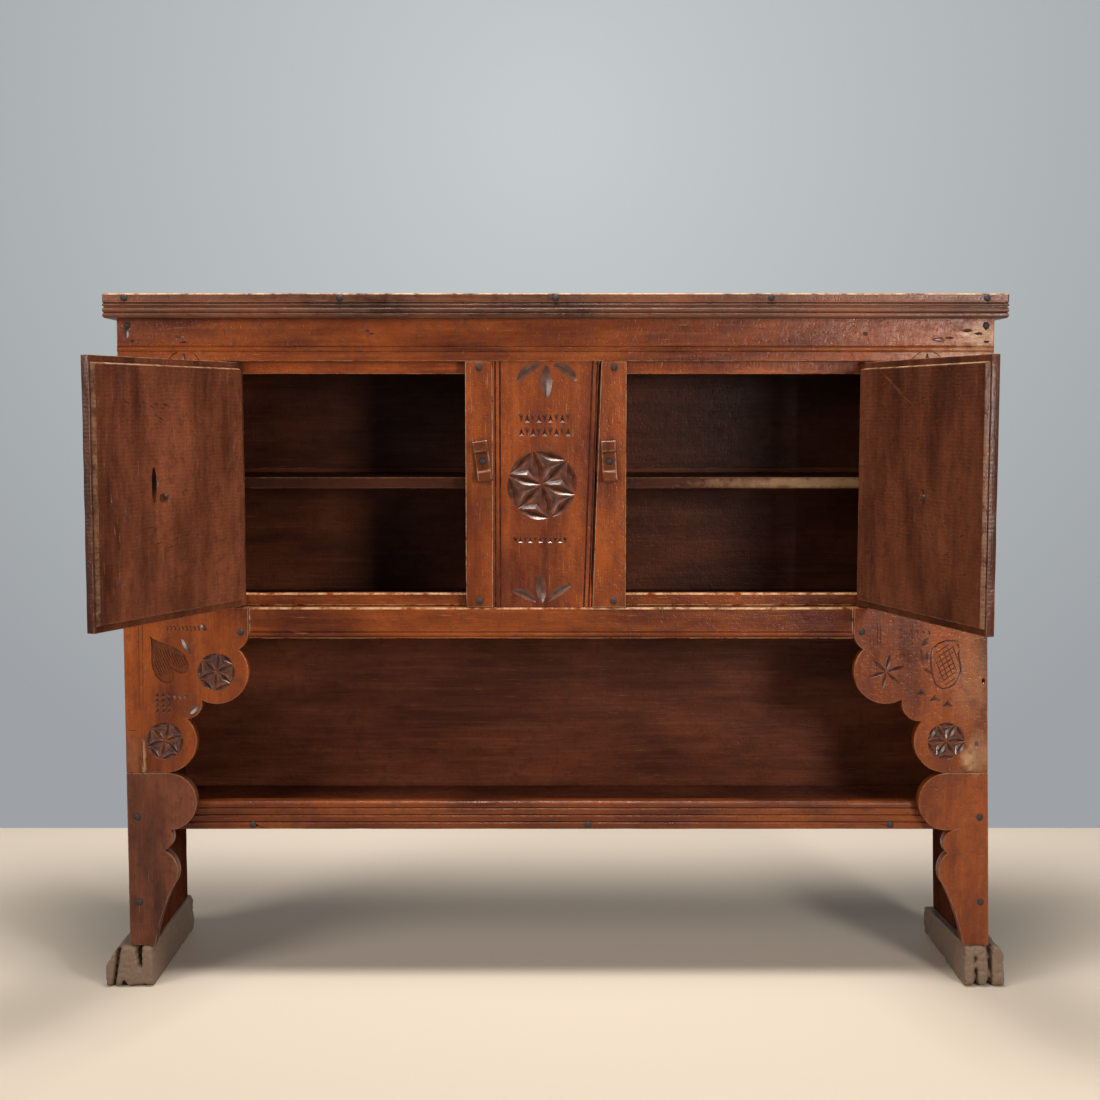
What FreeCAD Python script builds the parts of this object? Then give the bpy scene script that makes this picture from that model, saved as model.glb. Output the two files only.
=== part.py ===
import FreeCAD, Part
import math
import os

V = FreeCAD.Vector

# A low cupboard on sled feet: a carved front frame with two pivoted doors over an open shelf.
# Millimetres, +X to the viewer's right, +Y to the back, +Z up. While modelling, the front face
# of the case lies on Y = 0 and the floor on Z = 0; the finished pieces are centred in depth.

# Case
CASE_WIDTH = 1433.0
FOOT_HEIGHT = 70.0
LEG_BOARD_HEIGHT = 295.0
SCALLOP_HEIGHT = 226.0
BOTTOM_RAIL_HEIGHT = 52.0
DOOR_OPENING_HEIGHT = 405.0
FRIEZE_HEIGHT = 82.0
FRONT_THICKNESS = 22.0
LEFT_GABLE_THICKNESS = 35.0
RIGHT_GABLE_THICKNESS = 28.0
GABLE_DEPTH = 258.0
BACK_THICKNESS = 14.0
BACK_LAP = 8.0
HOUSING_DEPTH = 8.0

# Top board and its reeded edge
TOP_THICKNESS = 27.0
MOULDING_HEIGHT = 40.0
MOULDING_DEPTH = 18.0
MOULDING_FILLET = 5.0
REED_DEPTH = 2.2
REED_TOP = 14.5
REED_HEIGHTS = (5.0, 8.5)

# Beads run along the frieze and the bottom rail
BEAD_WIDTH = 8.0
QUIRK = 1.6
FRIEZE_BEAD_RISE = 20.0
RAIL_BEAD_RISE = 3.0

# Carved stiles and leg boards, scalloped in round lobes
LEFT_STILE_WIDTH = 208.0
RIGHT_STILE_WIDTH = 222.0
EAR_RADIUS = 34.0
EAR_RISE = 11.0
GREAT_LOBE_RADIUS = 54.0
GREAT_LOBE_INSET = 55.0
GREAT_LOBE_DROP = 55.5
LOW_LOBE_RADIUS = 54.0
LOW_LOBE_OUTSET = 65.0
KNOT_OVERLAP = 8.0
KNOT_SINK = 9.0
RIGHT_LEG_SPLAY = 13.5
LEG_LOBE_RADIUS = 49.0
LEG_LOBE_OUTSET = 68.0
BUMP_RADIUS = 24.0
BUMP_OUTSET = 52.0
LEFT_BUMP_DROP = 110.0
RIGHT_BUMP_DROP = 120.0
CALF_RADIUS = 40.0
CALF_OUTSET = 44.0
CALF_DROP = 168.0
CALF_END_ANGLE = -40.0
ANKLE_WIDTH = 43.0
ANKLE_HOLLOW = 4.0

# Centre post: two stiles with a carved panel between them, a little left of the middle
POST_LEFT_X = -148.0
LEFT_POST_STILE_WIDTH = 45.0
PANEL_TOP_WIDTH = 176.0
PANEL_BOTTOM_WIDTH = 162.0
PANEL_SET_BACK = 2.0
PANEL_GAP = 2.0
RIGHT_POST_STILE_WIDTH = 41.5
PANEL_BEAD_INSET = 4.0

# Battens that the doors close against
UPPER_STOP_DROP = 20.0
LOWER_STOP_HEIGHT = 22.0
STOP_THICKNESS = 18.0
STOP_LAP = 24.0

# Boards inside
FLOOR_THICKNESS = 20.0
SHELF_THICKNESS = 18.0
SHELF_RISE = 214.0
SHELF_SET_BACK = 8.0
LOWER_SHELF_THICKNESS = 15.0
LOWER_SHELF_Z = 264.0
LIP_HEIGHT = 48.0
LIP_THICKNESS = 22.0
LIP_ROUND = 7.0
LIP_GROOVE = 1.8
LIP_GROOVE_COUNT = 3

# Sled feet
FOOT_OUTSET = 40.0
LEFT_FOOT_WIDTH = 80.0
RIGHT_FOOT_WIDTH = 68.0
FOOT_FRONT_OVERHANG = 8.0
LEFT_FOOT_TAIL = 20.0
RIGHT_FOOT_TAIL = 1.0
LEFT_FOOT_TAIL_HEIGHT = 53.0
RIGHT_FOOT_TAIL_HEIGHT = 47.0
FOOT_CORNER = 12.0
LEFT_FOOT_CHAMFER_WIDTH = 21.0
RIGHT_FOOT_CHAMFER_WIDTH = 10.0
FOOT_CHAMFER_SLOPE = 1.5
TENON_THICKNESS = 14.0
TENON_SHOULDER = 30.0
TENON_LENGTH = 48.0
RAIL_TENON_LENGTH = 26.0
RAIL_TENON_HEIGHT = 26.0
RAIL_TENON_THICKNESS = 9.0

# Doors, hung on pivot pins and shown standing open
DOOR_THICKNESS = 20.0
DOOR_EDGE_THICKNESS = 13.0
DOOR_SET_BACK = 1.0
DOOR_HINGE_GAP = 1.0
DOOR_FREE_GAP = 1.5
DOOR_END_GAP = 1.5
DOOR_END_RIM = 10.0
DOOR_FREE_RIM = 4.0
DOOR_HINGE_RIM = 14.0
DOOR_BEVEL = 2.0
DOOR_NOTCH = 30.0
PIVOT_INSET = 12.5
PIVOT_DEPTH = 6.5
PIVOT_RADIUS = 4.0
PIVOT_FIT = 0.05
PIVOT_IN_DOOR = 30.0
PIVOT_IN_FRAME = 14.0
LEFT_OPEN_ANGLE = 113.4
RIGHT_OPEN_ANGLE = 106.0
KNOB_RISE = 193.0
KNOB_SHARE = 0.57
KNOB_RADIUS = 13.0
KNOB_LENGTH = 24.0
KNOB_FLARE = 6.0
KNOB_CROWN_DEPTH = 9.0
KNOB_SHOULDER_DEPTH = 8.0
KNOB_SHANK_RADIUS = 3.0
KNOB_FOOT_RADIUS = 8.0
KNOB_CLENCH = 2.5
KNOB_CLENCH_RADIUS = 4.5

# Turn buttons
BUTTON_LENGTH = 68.0
BUTTON_WIDTH = 24.0
BUTTON_END_THICKNESS = 14.0
BUTTON_WAIST_THICKNESS = 7.0
BUTTON_WAIST_LENGTH = 26.0
BUTTON_END_ROUND = 4.0
BUTTON_GAP = 0.3
BUTTON_RISE = 242.0
BUTTON_INSET = 28.5
BUTTON_FIT = 0.08
LEFT_BUTTON_TILT = -8.0
RIGHT_BUTTON_TILT = -3.0
BUTTON_NAIL_RADIUS = 2.2

# Forged nails with faceted heads
NAIL_SHANK = 3.6
NAIL_HEAD = 11.0
NAIL_HEAD_HEIGHT = 3.0
NAIL_BITE = 14.0
MOULDING_NAIL_COUNT = 5
LIP_NAIL_PLACES = (-510.0, 55.0, 565.0)
LEG_NAIL_DROP = 75.0

# Chip-carved rosettes
PANEL_ROSETTE_RADIUS = 60.0
PANEL_ROSETTE_RISE = 203.0
STILE_ROSETTE_RADIUS = 33.0
CHIP_SLOPE = 0.42
CHIP_STEPS = 6
PETAL_START = 0.03
PETAL_REACH = 0.96
RIM_CHIP_GAP = 0.06
PANEL_ROSETTE_TURN = -14.0
LEFT_ROSETTE_TURNS = (8.0, 13.0)
RIGHT_ROSETTE_TURN = 29.0
STAR_TURN = 12.0
STAR_PETAL_HALF_WIDTH = 3.2

# Heights and faces that follow from the sizes above
half = CASE_WIDTH / 2
joint_z = FOOT_HEIGHT + LEG_BOARD_HEIGHT
rail_z = joint_z + SCALLOP_HEIGHT
opening_z = rail_z + BOTTOM_RAIL_HEIGHT
frieze_z = opening_z + DOOR_OPENING_HEIGHT
top_z = frieze_z + FRIEZE_HEIGHT
crown_z = top_z + TOP_THICKNESS
gable_rear = FRONT_THICKNESS + GABLE_DEPTH
case_rear = gable_rear + BACK_THICKNESS
gable_thickness = {-1: LEFT_GABLE_THICKNESS, 1: RIGHT_GABLE_THICKNESS}
left_gable_x = LEFT_GABLE_THICKNESS - half
right_gable_x = half - RIGHT_GABLE_THICKNESS
shelf_z = opening_z + SHELF_RISE
pivot_y = DOOR_SET_BACK + PIVOT_DEPTH
tenon_y = (FRONT_THICKNESS - RAIL_TENON_THICKNESS) / 2
tenon_z = rail_z + (BOTTOM_RAIL_HEIGHT - PIVOT_IN_FRAME - RAIL_TENON_HEIGHT) / 2
left_inner = -half + LEFT_STILE_WIDTH
right_inner = half - RIGHT_STILE_WIDTH
post_inner_x = POST_LEFT_X + LEFT_POST_STILE_WIDTH
panel_top = post_inner_x + PANEL_TOP_WIDTH
panel_low = post_inner_x + PANEL_BOTTOM_WIDTH
post_right_x = panel_top + PANEL_GAP + RIGHT_POST_STILE_WIDTH


def box(x0, x1, y0, y1, z0, z1):
    """A plain board between two corners."""
    return Part.makeBox(x1 - x0, y1 - y0, z1 - z0, V(x0, y0, z0))


def prism(edges, along):
    """A solid swept straight along a vector from a closed flat outline."""
    return Part.Face(Part.Wire(edges)).extrude(along)


def polygon(points):
    """The straight edges of a closed outline."""
    return [Part.makeLine(a, b) for a, b in zip(points, points[1:] + points[:1])]


def arc(a, b, c):
    """A round edge from a through b to c."""
    return Part.Arc(a, b, c).toShape()


def lobe_cross(first, second):
    """The point where two round lobes (u, z, radius) meet on their inner side."""
    (u1, z1, r1), (u2, z2, r2) = first, second
    span = math.hypot(u2 - u1, z2 - z1)
    along = (span * span + r1 * r1 - r2 * r2) / (2 * span)
    rise = math.sqrt(r1 * r1 - along * along)
    du, dz = (u2 - u1) / span, (z2 - z1) / span
    near = (u1 + along * du + rise * dz, z1 + along * dz - rise * du)
    far = (u1 + along * du - rise * dz, z1 + along * dz + rise * du)
    return max(near, far)


def lobe_middle(lobe, start, end):
    """The point of a lobe's rim half way between two of its points, on the inner side."""
    u, z, r = lobe
    a = math.atan2(start[1] - z, start[0] - u)
    b = math.atan2(end[1] - z, end[0] - u)
    turn = (a + b) / 2
    return (u + r * math.cos(turn), z + r * math.sin(turn))


def side_point(side, width_point):
    """A point of a front board, u millimetres in from its outer edge, on the front face."""
    u, z = width_point
    return V(side * (half - u), 0, z)


def splay(side, z):
    """How far the right leg stands out at a height below the rail; the left one is upright."""
    return RIGHT_LEG_SPLAY * (rail_z - z) / (rail_z - FOOT_HEIGHT) if side > 0 else 0.0


def leg_point(side, width_point):
    """A point of a leg board, moved out with the splay of its leg."""
    u, z = width_point
    return side_point(side, (u - splay(side, z), z))


def lobed_edge(side, lobes, start, end, place=side_point):
    """Arcs along a row of lobes from start to end, with sharp cusps between them."""
    cusps = [start] + [lobe_cross(a, b) for a, b in zip(lobes, lobes[1:])] + [end]
    edges = []
    for lobe, a, b in zip(lobes, cusps, cusps[1:]):
        places = (a, lobe_middle(lobe, a, b), b)
        edges.append(arc(*[place(side, p) for p in places]))
    return edges


def chip(tip, end, swell):
    """A lens-shaped chip of V section from tip to end, cut into a front face."""
    run = end.sub(tip)
    across = V(-run.z, 0, run.x).normalize()
    rows = []
    for i in range(1, CHIP_STEPS):
        share = i / CHIP_STEPS
        bulge = swell * 4 * share * (1 - share)
        middle = tip + run * share
        sides = [middle + across * bulge, middle - across * bulge]
        rows.append((sides[0], middle + V(0, bulge * 2 * CHIP_SLOPE, 0), sides[1]))
    first, last = rows[0], rows[-1]
    outlines = [[tip] + [r[0] for r in rows] + [end] + [r[2] for r in reversed(rows)]]
    outlines += [[first[0], first[1], tip], [first[1], first[2], tip]]
    outlines += [[last[0], end, last[1]], [last[1], end, last[2]]]
    for (a0, a1, a2), (b0, b1, b2) in zip(rows, rows[1:]):
        outlines += [[a0, b0, b1], [a0, b1, a1], [a1, b1, b2], [a1, b2, a2]]
    faces = [Part.Face(Part.makePolygon(ring + ring[:1])) for ring in outlines]
    return Part.Solid(Part.Shell(faces))


def rays(turn):
    """Six directions on a front face, one every sixty degrees."""
    spokes = [math.radians(turn + 60 * i) for i in range(6)]
    return [V(math.sin(a), 0, math.cos(a)) for a in spokes]


def star(centre, radius, turn, swell):
    """The chips of a star: six petals that meet at its middle."""
    return [chip(centre + r * (radius * PETAL_START), centre + r * (radius * PETAL_REACH), swell)
            for r in rays(turn)]


def rosette(centre, radius, turn):
    """The chips of a compass rosette: a star, and six more petals between its tips."""
    swell = radius * (1 - math.cos(math.pi / 6))
    chips = star(centre, radius, turn, swell)
    tips = [centre + r * (radius * PETAL_REACH) for r in rays(turn)]
    for a, b in zip(tips, tips[1:] + tips[:1]):
        step = (b - a) * RIM_CHIP_GAP
        chips.append(chip(a + step, b - step, swell))
    return chips


def carved(board, chips):
    """A board with a set of chips cut out of its face."""
    for cut in chips:
        board = board.cut(cut)
    return board


def nail(x, z, face_y, bite, head=NAIL_HEAD):
    """A forged nail driven in along +Y: a square shank under a low four-sided head."""
    s = NAIL_SHANK / 2
    shank = box(x - s, x + s, face_y, face_y + bite, z - s, z + s)
    h = head / 2
    rim = [V(x - h, face_y, z), V(x, face_y, z - h), V(x + h, face_y, z), V(x, face_y, z + h)]
    peak = V(x, face_y - NAIL_HEAD_HEIGHT, z)
    faces = [Part.Face(Part.makePolygon(rim + rim[:1]))]
    for a, b in zip(rim, rim[1:] + rim[:1]):
        faces.append(Part.Face(Part.makePolygon([a, b, peak, a])))
    return shank.fuse(Part.Solid(Part.Shell(faces))).removeSplitter()


def carved_stile(side, width):
    """The upper front board beside a door, notched for the door and scalloped below the rail."""
    ear = (width - EAR_RADIUS, rail_z + EAR_RISE, EAR_RADIUS)
    great = (width - GREAT_LOBE_INSET, rail_z - GREAT_LOBE_DROP, GREAT_LOBE_RADIUS)
    low = (LOW_LOBE_OUTSET, joint_z + LOW_LOBE_RADIUS, LOW_LOBE_RADIUS)
    span = math.hypot(great[0] - low[0], great[1] - low[1])
    gap = span - GREAT_LOBE_RADIUS - LOW_LOBE_RADIUS
    share = (GREAT_LOBE_RADIUS + gap / 2) / span
    run, rise = (great[0] - low[0]) / span, (great[1] - low[1]) / span
    knot = (great[0] + (low[0] - great[0]) * share - KNOT_SINK * rise,
            great[1] + (low[1] - great[1]) * share + KNOT_SINK * run, gap / 2 + KNOT_OVERLAP)
    shoulder = width - DOOR_NOTCH
    start = (width, rail_z + EAR_RISE)
    end = (LOW_LOBE_OUTSET, joint_z)
    ring = [end, (-splay(side, joint_z), joint_z), (0, rail_z), (0, frieze_z), (shoulder, frieze_z),
            (shoulder, opening_z), (width, opening_z), start]
    places = [side_point(side, p) for p in ring]
    edges = [Part.makeLine(a, b) for a, b in zip(places, places[1:])]
    edges += lobed_edge(side, [ear, great, knot, low], start, end)
    board = prism(edges, V(0, FRONT_THICKNESS, 0))
    inner = side * (half - width)
    deep = inner + side * RAIL_TENON_LENGTH
    board = board.cut(box(min(inner, deep), max(inner, deep), tenon_y,
                          tenon_y + RAIL_TENON_THICKNESS, tenon_z, tenon_z + RAIL_TENON_HEIGHT))
    centres = [side_point(side, great[:2]), side_point(side, low[:2])]
    return board, centres


def leg_board(side, bump_drop):
    """The lower front board, scalloped like a calf and ankle, standing on the foot."""
    lobe = (LEG_LOBE_OUTSET, joint_z - LEG_LOBE_RADIUS, LEG_LOBE_RADIUS)
    bump = (BUMP_OUTSET, joint_z - bump_drop, BUMP_RADIUS)
    calf = (CALF_OUTSET, joint_z - CALF_DROP, CALF_RADIUS)
    turn = math.radians(CALF_END_ANGLE)
    calf_end = (calf[0] + calf[2] * math.cos(turn), calf[1] + calf[2] * math.sin(turn))
    start = (LEG_LOBE_OUTSET, joint_z)
    ankle = (ANKLE_WIDTH, FOOT_HEIGHT)
    hollow = ((calf_end[0] + ankle[0]) / 2 - ANKLE_HOLLOW, (calf_end[1] + ankle[1]) / 2)
    edges = lobed_edge(side, [lobe, bump, calf], start, calf_end, leg_point)
    edges.append(arc(*[leg_point(side, p) for p in (calf_end, hollow, ankle)]))
    ring = [leg_point(side, p) for p in (ankle, (0, FOOT_HEIGHT), (0, joint_z), start)]
    edges += [Part.makeLine(a, b) for a, b in zip(ring, ring[1:])]
    return prism(edges, V(0, FRONT_THICKNESS, 0))


def beaded_rail(x0, x1, z0, z1, bead_z):
    """A front rail with a round bead between two quirks run along its face."""
    half_bead = BEAD_WIDTH / 2
    def at(y, z):
        return V(x0, y, z)
    low = [at(0, z0), at(0, bead_z - half_bead - QUIRK), at(QUIRK, bead_z - half_bead)]
    high = [at(QUIRK, bead_z + half_bead), at(0, bead_z + half_bead + QUIRK), at(0, z1)]
    back = [at(FRONT_THICKNESS, z1), at(FRONT_THICKNESS, z0)]
    edges = [Part.makeLine(a, b) for a, b in zip(low, low[1:])]
    edges.append(arc(low[-1], at(0, bead_z), high[0]))
    ring = high + back + low[:1]
    edges += [Part.makeLine(a, b) for a, b in zip(ring, ring[1:])]
    return prism(edges, V(x1 - x0, 0, 0))


def moulding_section(place):
    """The reeded edge in section: place(depth, drop) puts a point outside the top board's edge."""
    face = MOULDING_DEPTH
    points = [place(0, 0), place(face, 0), place(face, REED_TOP)]
    edges = [Part.makeLine(a, b) for a, b in zip(points, points[1:])]
    drop = REED_TOP
    last = points[-1]
    for height in REED_HEIGHTS:
        groove = place(face - REED_DEPTH, drop + QUIRK)
        end = place(face - REED_DEPTH, drop + QUIRK + height)
        edges.append(Part.makeLine(last, groove))
        edges.append(arc(groove, place(face, drop + QUIRK + height / 2), end))
        drop += QUIRK + height
        last = end
    out = place(face, drop + QUIRK)
    turn = place(face, MOULDING_HEIGHT - MOULDING_FILLET)
    bend = MOULDING_FILLET * (1 - math.sqrt(0.5))
    under = place(face - MOULDING_FILLET, MOULDING_HEIGHT)
    edges.append(Part.makeLine(last, out))
    edges.append(Part.makeLine(out, turn))
    edges.append(arc(turn, place(face - bend, MOULDING_HEIGHT - bend), under))
    foot = place(0, MOULDING_HEIGHT)
    edges.append(Part.makeLine(under, foot))
    edges.append(Part.makeLine(foot, points[0]))
    return edges


def mitre(side):
    """The block on the side moulding's part of a front corner, cut along the diagonal."""
    x, out = side * half, side * (half + MOULDING_DEPTH)
    ring = [V(x, 0, top_z - MOULDING_HEIGHT), V(out, -MOULDING_DEPTH, top_z - MOULDING_HEIGHT),
            V(out, 0, top_z - MOULDING_HEIGHT)]
    return prism(polygon(ring), V(0, 0, MOULDING_HEIGHT + TOP_THICKNESS))


def top_mouldings():
    """The reeded strips nailed round the front and ends of the top board, mitred at the corners."""
    out = half + MOULDING_DEPTH
    front = prism(moulding_section(lambda d, z: V(-out, -d, crown_z - z)), V(2 * out, 0, 0))
    strips = {}
    for side, name in ((-1, "left"), (1, "right")):
        front = front.cut(mitre(side))
        run = V(0, case_rear + MOULDING_DEPTH, 0)
        strip = prism(moulding_section(
            lambda d, z: V(side * (half + d), -MOULDING_DEPTH, crown_z - z)), run)
        corner = box(min(side * half, side * out), max(side * half, side * out),
                     -MOULDING_DEPTH, 0, crown_z - MOULDING_HEIGHT, crown_z)
        beyond = corner.cut(mitre(side))
        strips[f"top_{name}_moulding"] = strip.cut(beyond)
    return {"top_front_moulding": front, **strips}


def sled_foot(side, width, knee, tail, tail_height, chamfer):
    """A sled foot under a gable: blunt nose, falling tail, worn outer edge and a through mortise."""
    out = half + FOOT_OUTSET
    nose = -FOOT_FRONT_OVERHANG
    bend = FOOT_CORNER * (1 - math.sqrt(0.5))
    x = side * (out - width)
    corner = V(x, nose, FOOT_CORNER), V(x, nose + bend, bend), V(x, nose + FOOT_CORNER, 0)
    ring = [corner[2], V(x, tail - FOOT_CORNER, 0), V(x, tail, FOOT_CORNER), V(x, tail, tail_height),
            V(x, knee, FOOT_HEIGHT), V(x, nose, FOOT_HEIGHT), corner[0]]
    edges = [arc(*corner)] + [Part.makeLine(a, b) for a, b in zip(ring, ring[1:])]
    foot = prism(edges, V(side * width, 0, 0))
    wedge = [V(side * out, nose, FOOT_HEIGHT), V(side * (out - chamfer), nose, FOOT_HEIGHT),
             V(side * out, nose, FOOT_HEIGHT - chamfer * FOOT_CHAMFER_SLOPE)]
    foot = foot.cut(prism(polygon(wedge), V(0, tail - nose, 0)))
    return foot.cut(gable_tenon(side))


def gable_tenon(side):
    """The tongue under a gable that stands in the foot's mortise."""
    middle = side * (half - gable_thickness[side] / 2 + splay(side, FOOT_HEIGHT))
    return box(middle - TENON_THICKNESS / 2, middle + TENON_THICKNESS / 2,
               FRONT_THICKNESS + TENON_SHOULDER, gable_rear - TENON_SHOULDER,
               FOOT_HEIGHT - TENON_LENGTH, FOOT_HEIGHT)


def gable(side, foot, housed):
    """A side plank shaped to its foot, with a tenon and housings for the boards that end in it."""
    inner = half - gable_thickness[side]
    low = RIGHT_FOOT_TAIL_HEIGHT
    lean = splay(side, low)
    outline = [(inner + lean, low), (half + lean, low), (half, rail_z), (half, top_z), (inner, top_z),
               (inner, rail_z)]
    ring = [V(side * x, FRONT_THICKNESS, z) for x, z in outline]
    plank = prism(polygon(ring), V(0, GABLE_DEPTH, 0)).fuse(gable_tenon(side)).removeSplitter()
    for piece in [foot] + housed:
        plank = plank.cut(piece)
    return plank


def housed_board(y0, z0, thickness):
    """A board from gable to gable whose ends sit in housings."""
    end = right_gable_x + HOUSING_DEPTH + splay(1, min(z0, rail_z))
    return box(left_gable_x - HOUSING_DEPTH, end, y0, gable_rear, z0, z0 + thickness)


def lip_rail():
    """The rail on the front edge of the lower shelf, rounded on top and grooved along its face."""
    y0, y1 = FRONT_THICKNESS, FRONT_THICKNESS + LIP_THICKNESS
    z0, z1 = LOWER_SHELF_Z, LOWER_SHELF_Z + LIP_HEIGHT
    bend = LIP_ROUND * (1 - math.sqrt(0.5))
    x = left_gable_x
    spaces = LIP_GROOVE_COUNT + 1
    grooves = [z0 + LIP_HEIGHT * k / spaces for k in range(1, spaces)]
    ring = [V(x, y0, z1 - LIP_ROUND)]
    for g in reversed(grooves):
        ring += [V(x, y0, g + LIP_GROOVE), V(x, y0 + LIP_GROOVE, g), V(x, y0, g - LIP_GROOVE)]
    ring += [V(x, y0, z0), V(x, y1, z0), V(x, y1, z1), V(x, y0 + LIP_ROUND, z1)]
    edges = [Part.makeLine(a, b) for a, b in zip(ring, ring[1:])]
    edges.append(arc(ring[-1], V(x, y0 + bend, z1 - bend), ring[0]))
    return prism(edges, V(right_gable_x + splay(1, z0) - x, 0, 0))


def back_boards():
    """Three wide planks nailed on behind, each lapped over the next."""
    levels = [LOWER_SHELF_Z, opening_z - FLOOR_THICKNESS, shelf_z, top_z]
    middle = gable_rear + BACK_THICKNESS / 2
    boards = {}
    for name, low, high in zip(("lower", "middle", "upper"), levels, levels[1:]):
        plank = box(-half, half, gable_rear, case_rear, low, high)
        if low > levels[0]:
            plank = plank.cut(box(-half, half, gable_rear, middle, low, low + BACK_LAP))
        if high < levels[-1]:
            plank = plank.fuse(box(-half, half, gable_rear, middle, high, high + BACK_LAP))
        boards[f"{name}_back_board"] = plank.removeSplitter()
    return boards


def pivot(x, z0, z1, radius):
    """A round pivot pin, or the hole it turns in."""
    return Part.makeCylinder(radius, z1 - z0, V(x, pivot_y, z0), V(0, 0, 1))


def door_leaf(side, hinge_x, free_x):
    """A closed door: a plank rounded at its hinge edge, with a bevelled field on its inner face."""
    y0 = DOOR_SET_BACK
    edge_y = y0 + DOOR_EDGE_THICKNESS
    z0, z1 = opening_z + DOOR_END_GAP, frieze_z - DOOR_END_GAP
    axis_x = hinge_x - side * PIVOT_INSET
    reach = math.sqrt(PIVOT_INSET ** 2 - PIVOT_DEPTH ** 2)
    turn = math.asin(PIVOT_DEPTH / PIVOT_INSET) / 2
    rim = V(axis_x + side * PIVOT_INSET * math.cos(turn), pivot_y - PIVOT_INSET * math.sin(turn), z0)
    heel = V(hinge_x, pivot_y, z0)
    toe = V(axis_x + side * reach, y0, z0)
    ring = [toe, V(free_x, y0, z0), V(free_x, edge_y, z0), V(hinge_x, edge_y, z0), heel]
    edges = [Part.makeLine(a, b) for a, b in zip(ring, ring[1:])] + [arc(heel, rim, toe)]
    leaf = prism(edges, V(0, 0, z1 - z0))
    outlines = []
    for y, grow in ((edge_y, 0), (y0 + DOOR_THICKNESS, DOOR_BEVEL)):
        ends = DOOR_END_RIM + grow
        xs = (hinge_x - side * (DOOR_HINGE_RIM + grow), free_x + side * (DOOR_FREE_RIM + grow))
        corners = [V(xs[0], y, z0 + ends), V(xs[1], y, z0 + ends), V(xs[1], y, z1 - ends),
                   V(xs[0], y, z1 - ends)]
        outlines.append(Part.makePolygon(corners + corners[:1]))
    return leaf.fuse(Part.makeLoft(outlines, True, True)).removeSplitter()


def door_knob(x, z):
    """An iron knob whose shank passes through the door and is clenched on the inner face."""
    back = DOOR_SET_BACK + DOOR_THICKNESS
    front = DOOR_SET_BACK
    neck = KNOB_FOOT_RADIUS - KNOB_SHANK_RADIUS
    ball_y = front - KNOB_LENGTH + KNOB_CROWN_DEPTH
    def at(r, y):
        return V(x + r, y, z)
    points = [at(0, back + KNOB_CLENCH), at(KNOB_SHANK_RADIUS, back + KNOB_CLENCH),
              at(KNOB_CLENCH_RADIUS, back), at(KNOB_SHANK_RADIUS, back),
              at(KNOB_SHANK_RADIUS, front), at(KNOB_FOOT_RADIUS, front),
              at(neck, front - KNOB_FLARE), at(neck, ball_y + KNOB_SHOULDER_DEPTH)]
    crown = [at(KNOB_SHANK_RADIUS, front - KNOB_LENGTH), at(0, front - KNOB_LENGTH)]
    edges = [Part.makeLine(a, b) for a, b in zip(points, points[1:])]
    edges.append(arc(points[-1], at(KNOB_RADIUS, ball_y), crown[0]))
    edges.append(Part.makeLine(crown[0], crown[1]))
    edges.append(Part.makeLine(crown[1], points[0]))
    return Part.Face(Part.Wire(edges)).revolve(V(x, 0, z), V(0, 1, 0), 360)


def door(side, name, hinge_x, free_x, open_angle):
    """A door with its pins and knob, turned open about its pivots."""
    axis_x = hinge_x - side * PIVOT_INSET
    z0, z1 = opening_z + DOOR_END_GAP, frieze_z - DOOR_END_GAP
    low = pivot(axis_x, opening_z - PIVOT_IN_FRAME, z0 + PIVOT_IN_DOOR, PIVOT_RADIUS)
    high = pivot(axis_x, z1 - PIVOT_IN_DOOR, frieze_z + PIVOT_IN_FRAME, PIVOT_RADIUS)
    knob_x = hinge_x + (free_x - hinge_x) * KNOB_SHARE
    knob = door_knob(knob_x, opening_z + KNOB_RISE)
    leaf = door_leaf(side, hinge_x, free_x).cut(low).cut(high).cut(knob)
    pieces = {f"{name}_door_panel": leaf, f"{name}_door_lower_pin": low,
              f"{name}_door_upper_pin": high, f"{name}_door_knob": knob}
    for piece in pieces.values():
        piece.rotate(V(axis_x, pivot_y, 0), V(0, 0, 1), side * open_angle)
    return pieces, axis_x


def turn_button(x, z, tilt):
    """A wooden turn button: two raised ends and a hollowed waist, bored for its nail."""
    def at(along, out):
        return V(x - BUTTON_WIDTH / 2, -BUTTON_GAP - out, z + along)
    end, waist = BUTTON_LENGTH / 2, BUTTON_WAIST_LENGTH / 2
    thick, thin, soft = BUTTON_END_THICKNESS, BUTTON_WAIST_THICKNESS, BUTTON_END_ROUND
    bend = soft * (1 - math.sqrt(0.5))
    slope = (thick - thin) / 2
    edges = [arc(at(-end, thick - soft), at(-end + bend, thick - bend), at(-end + soft, thick)),
             Part.makeLine(at(-end + soft, thick), at(-waist - slope, thick)),
             Part.makeLine(at(-waist - slope, thick), at(-waist, thin)),
             Part.makeLine(at(-waist, thin), at(waist, thin)),
             Part.makeLine(at(waist, thin), at(waist + slope, thick)),
             Part.makeLine(at(waist + slope, thick), at(end - soft, thick)),
             arc(at(end - soft, thick), at(end - bend, thick - bend), at(end, thick - soft)),
             Part.makeLine(at(end, thick - soft), at(end, 0)),
             Part.makeLine(at(end, 0), at(-end, 0)),
             Part.makeLine(at(-end, 0), at(-end, thick - soft))]
    button = prism(edges, V(BUTTON_WIDTH, 0, 0))
    bore = Part.makeCylinder(BUTTON_NAIL_RADIUS + BUTTON_FIT, 2 * thick, V(x, -2 * thick, z), V(0, 1, 0))
    button = button.cut(bore)
    button.rotate(V(x, 0, z), V(0, 1, 0), tilt)
    return button


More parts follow.
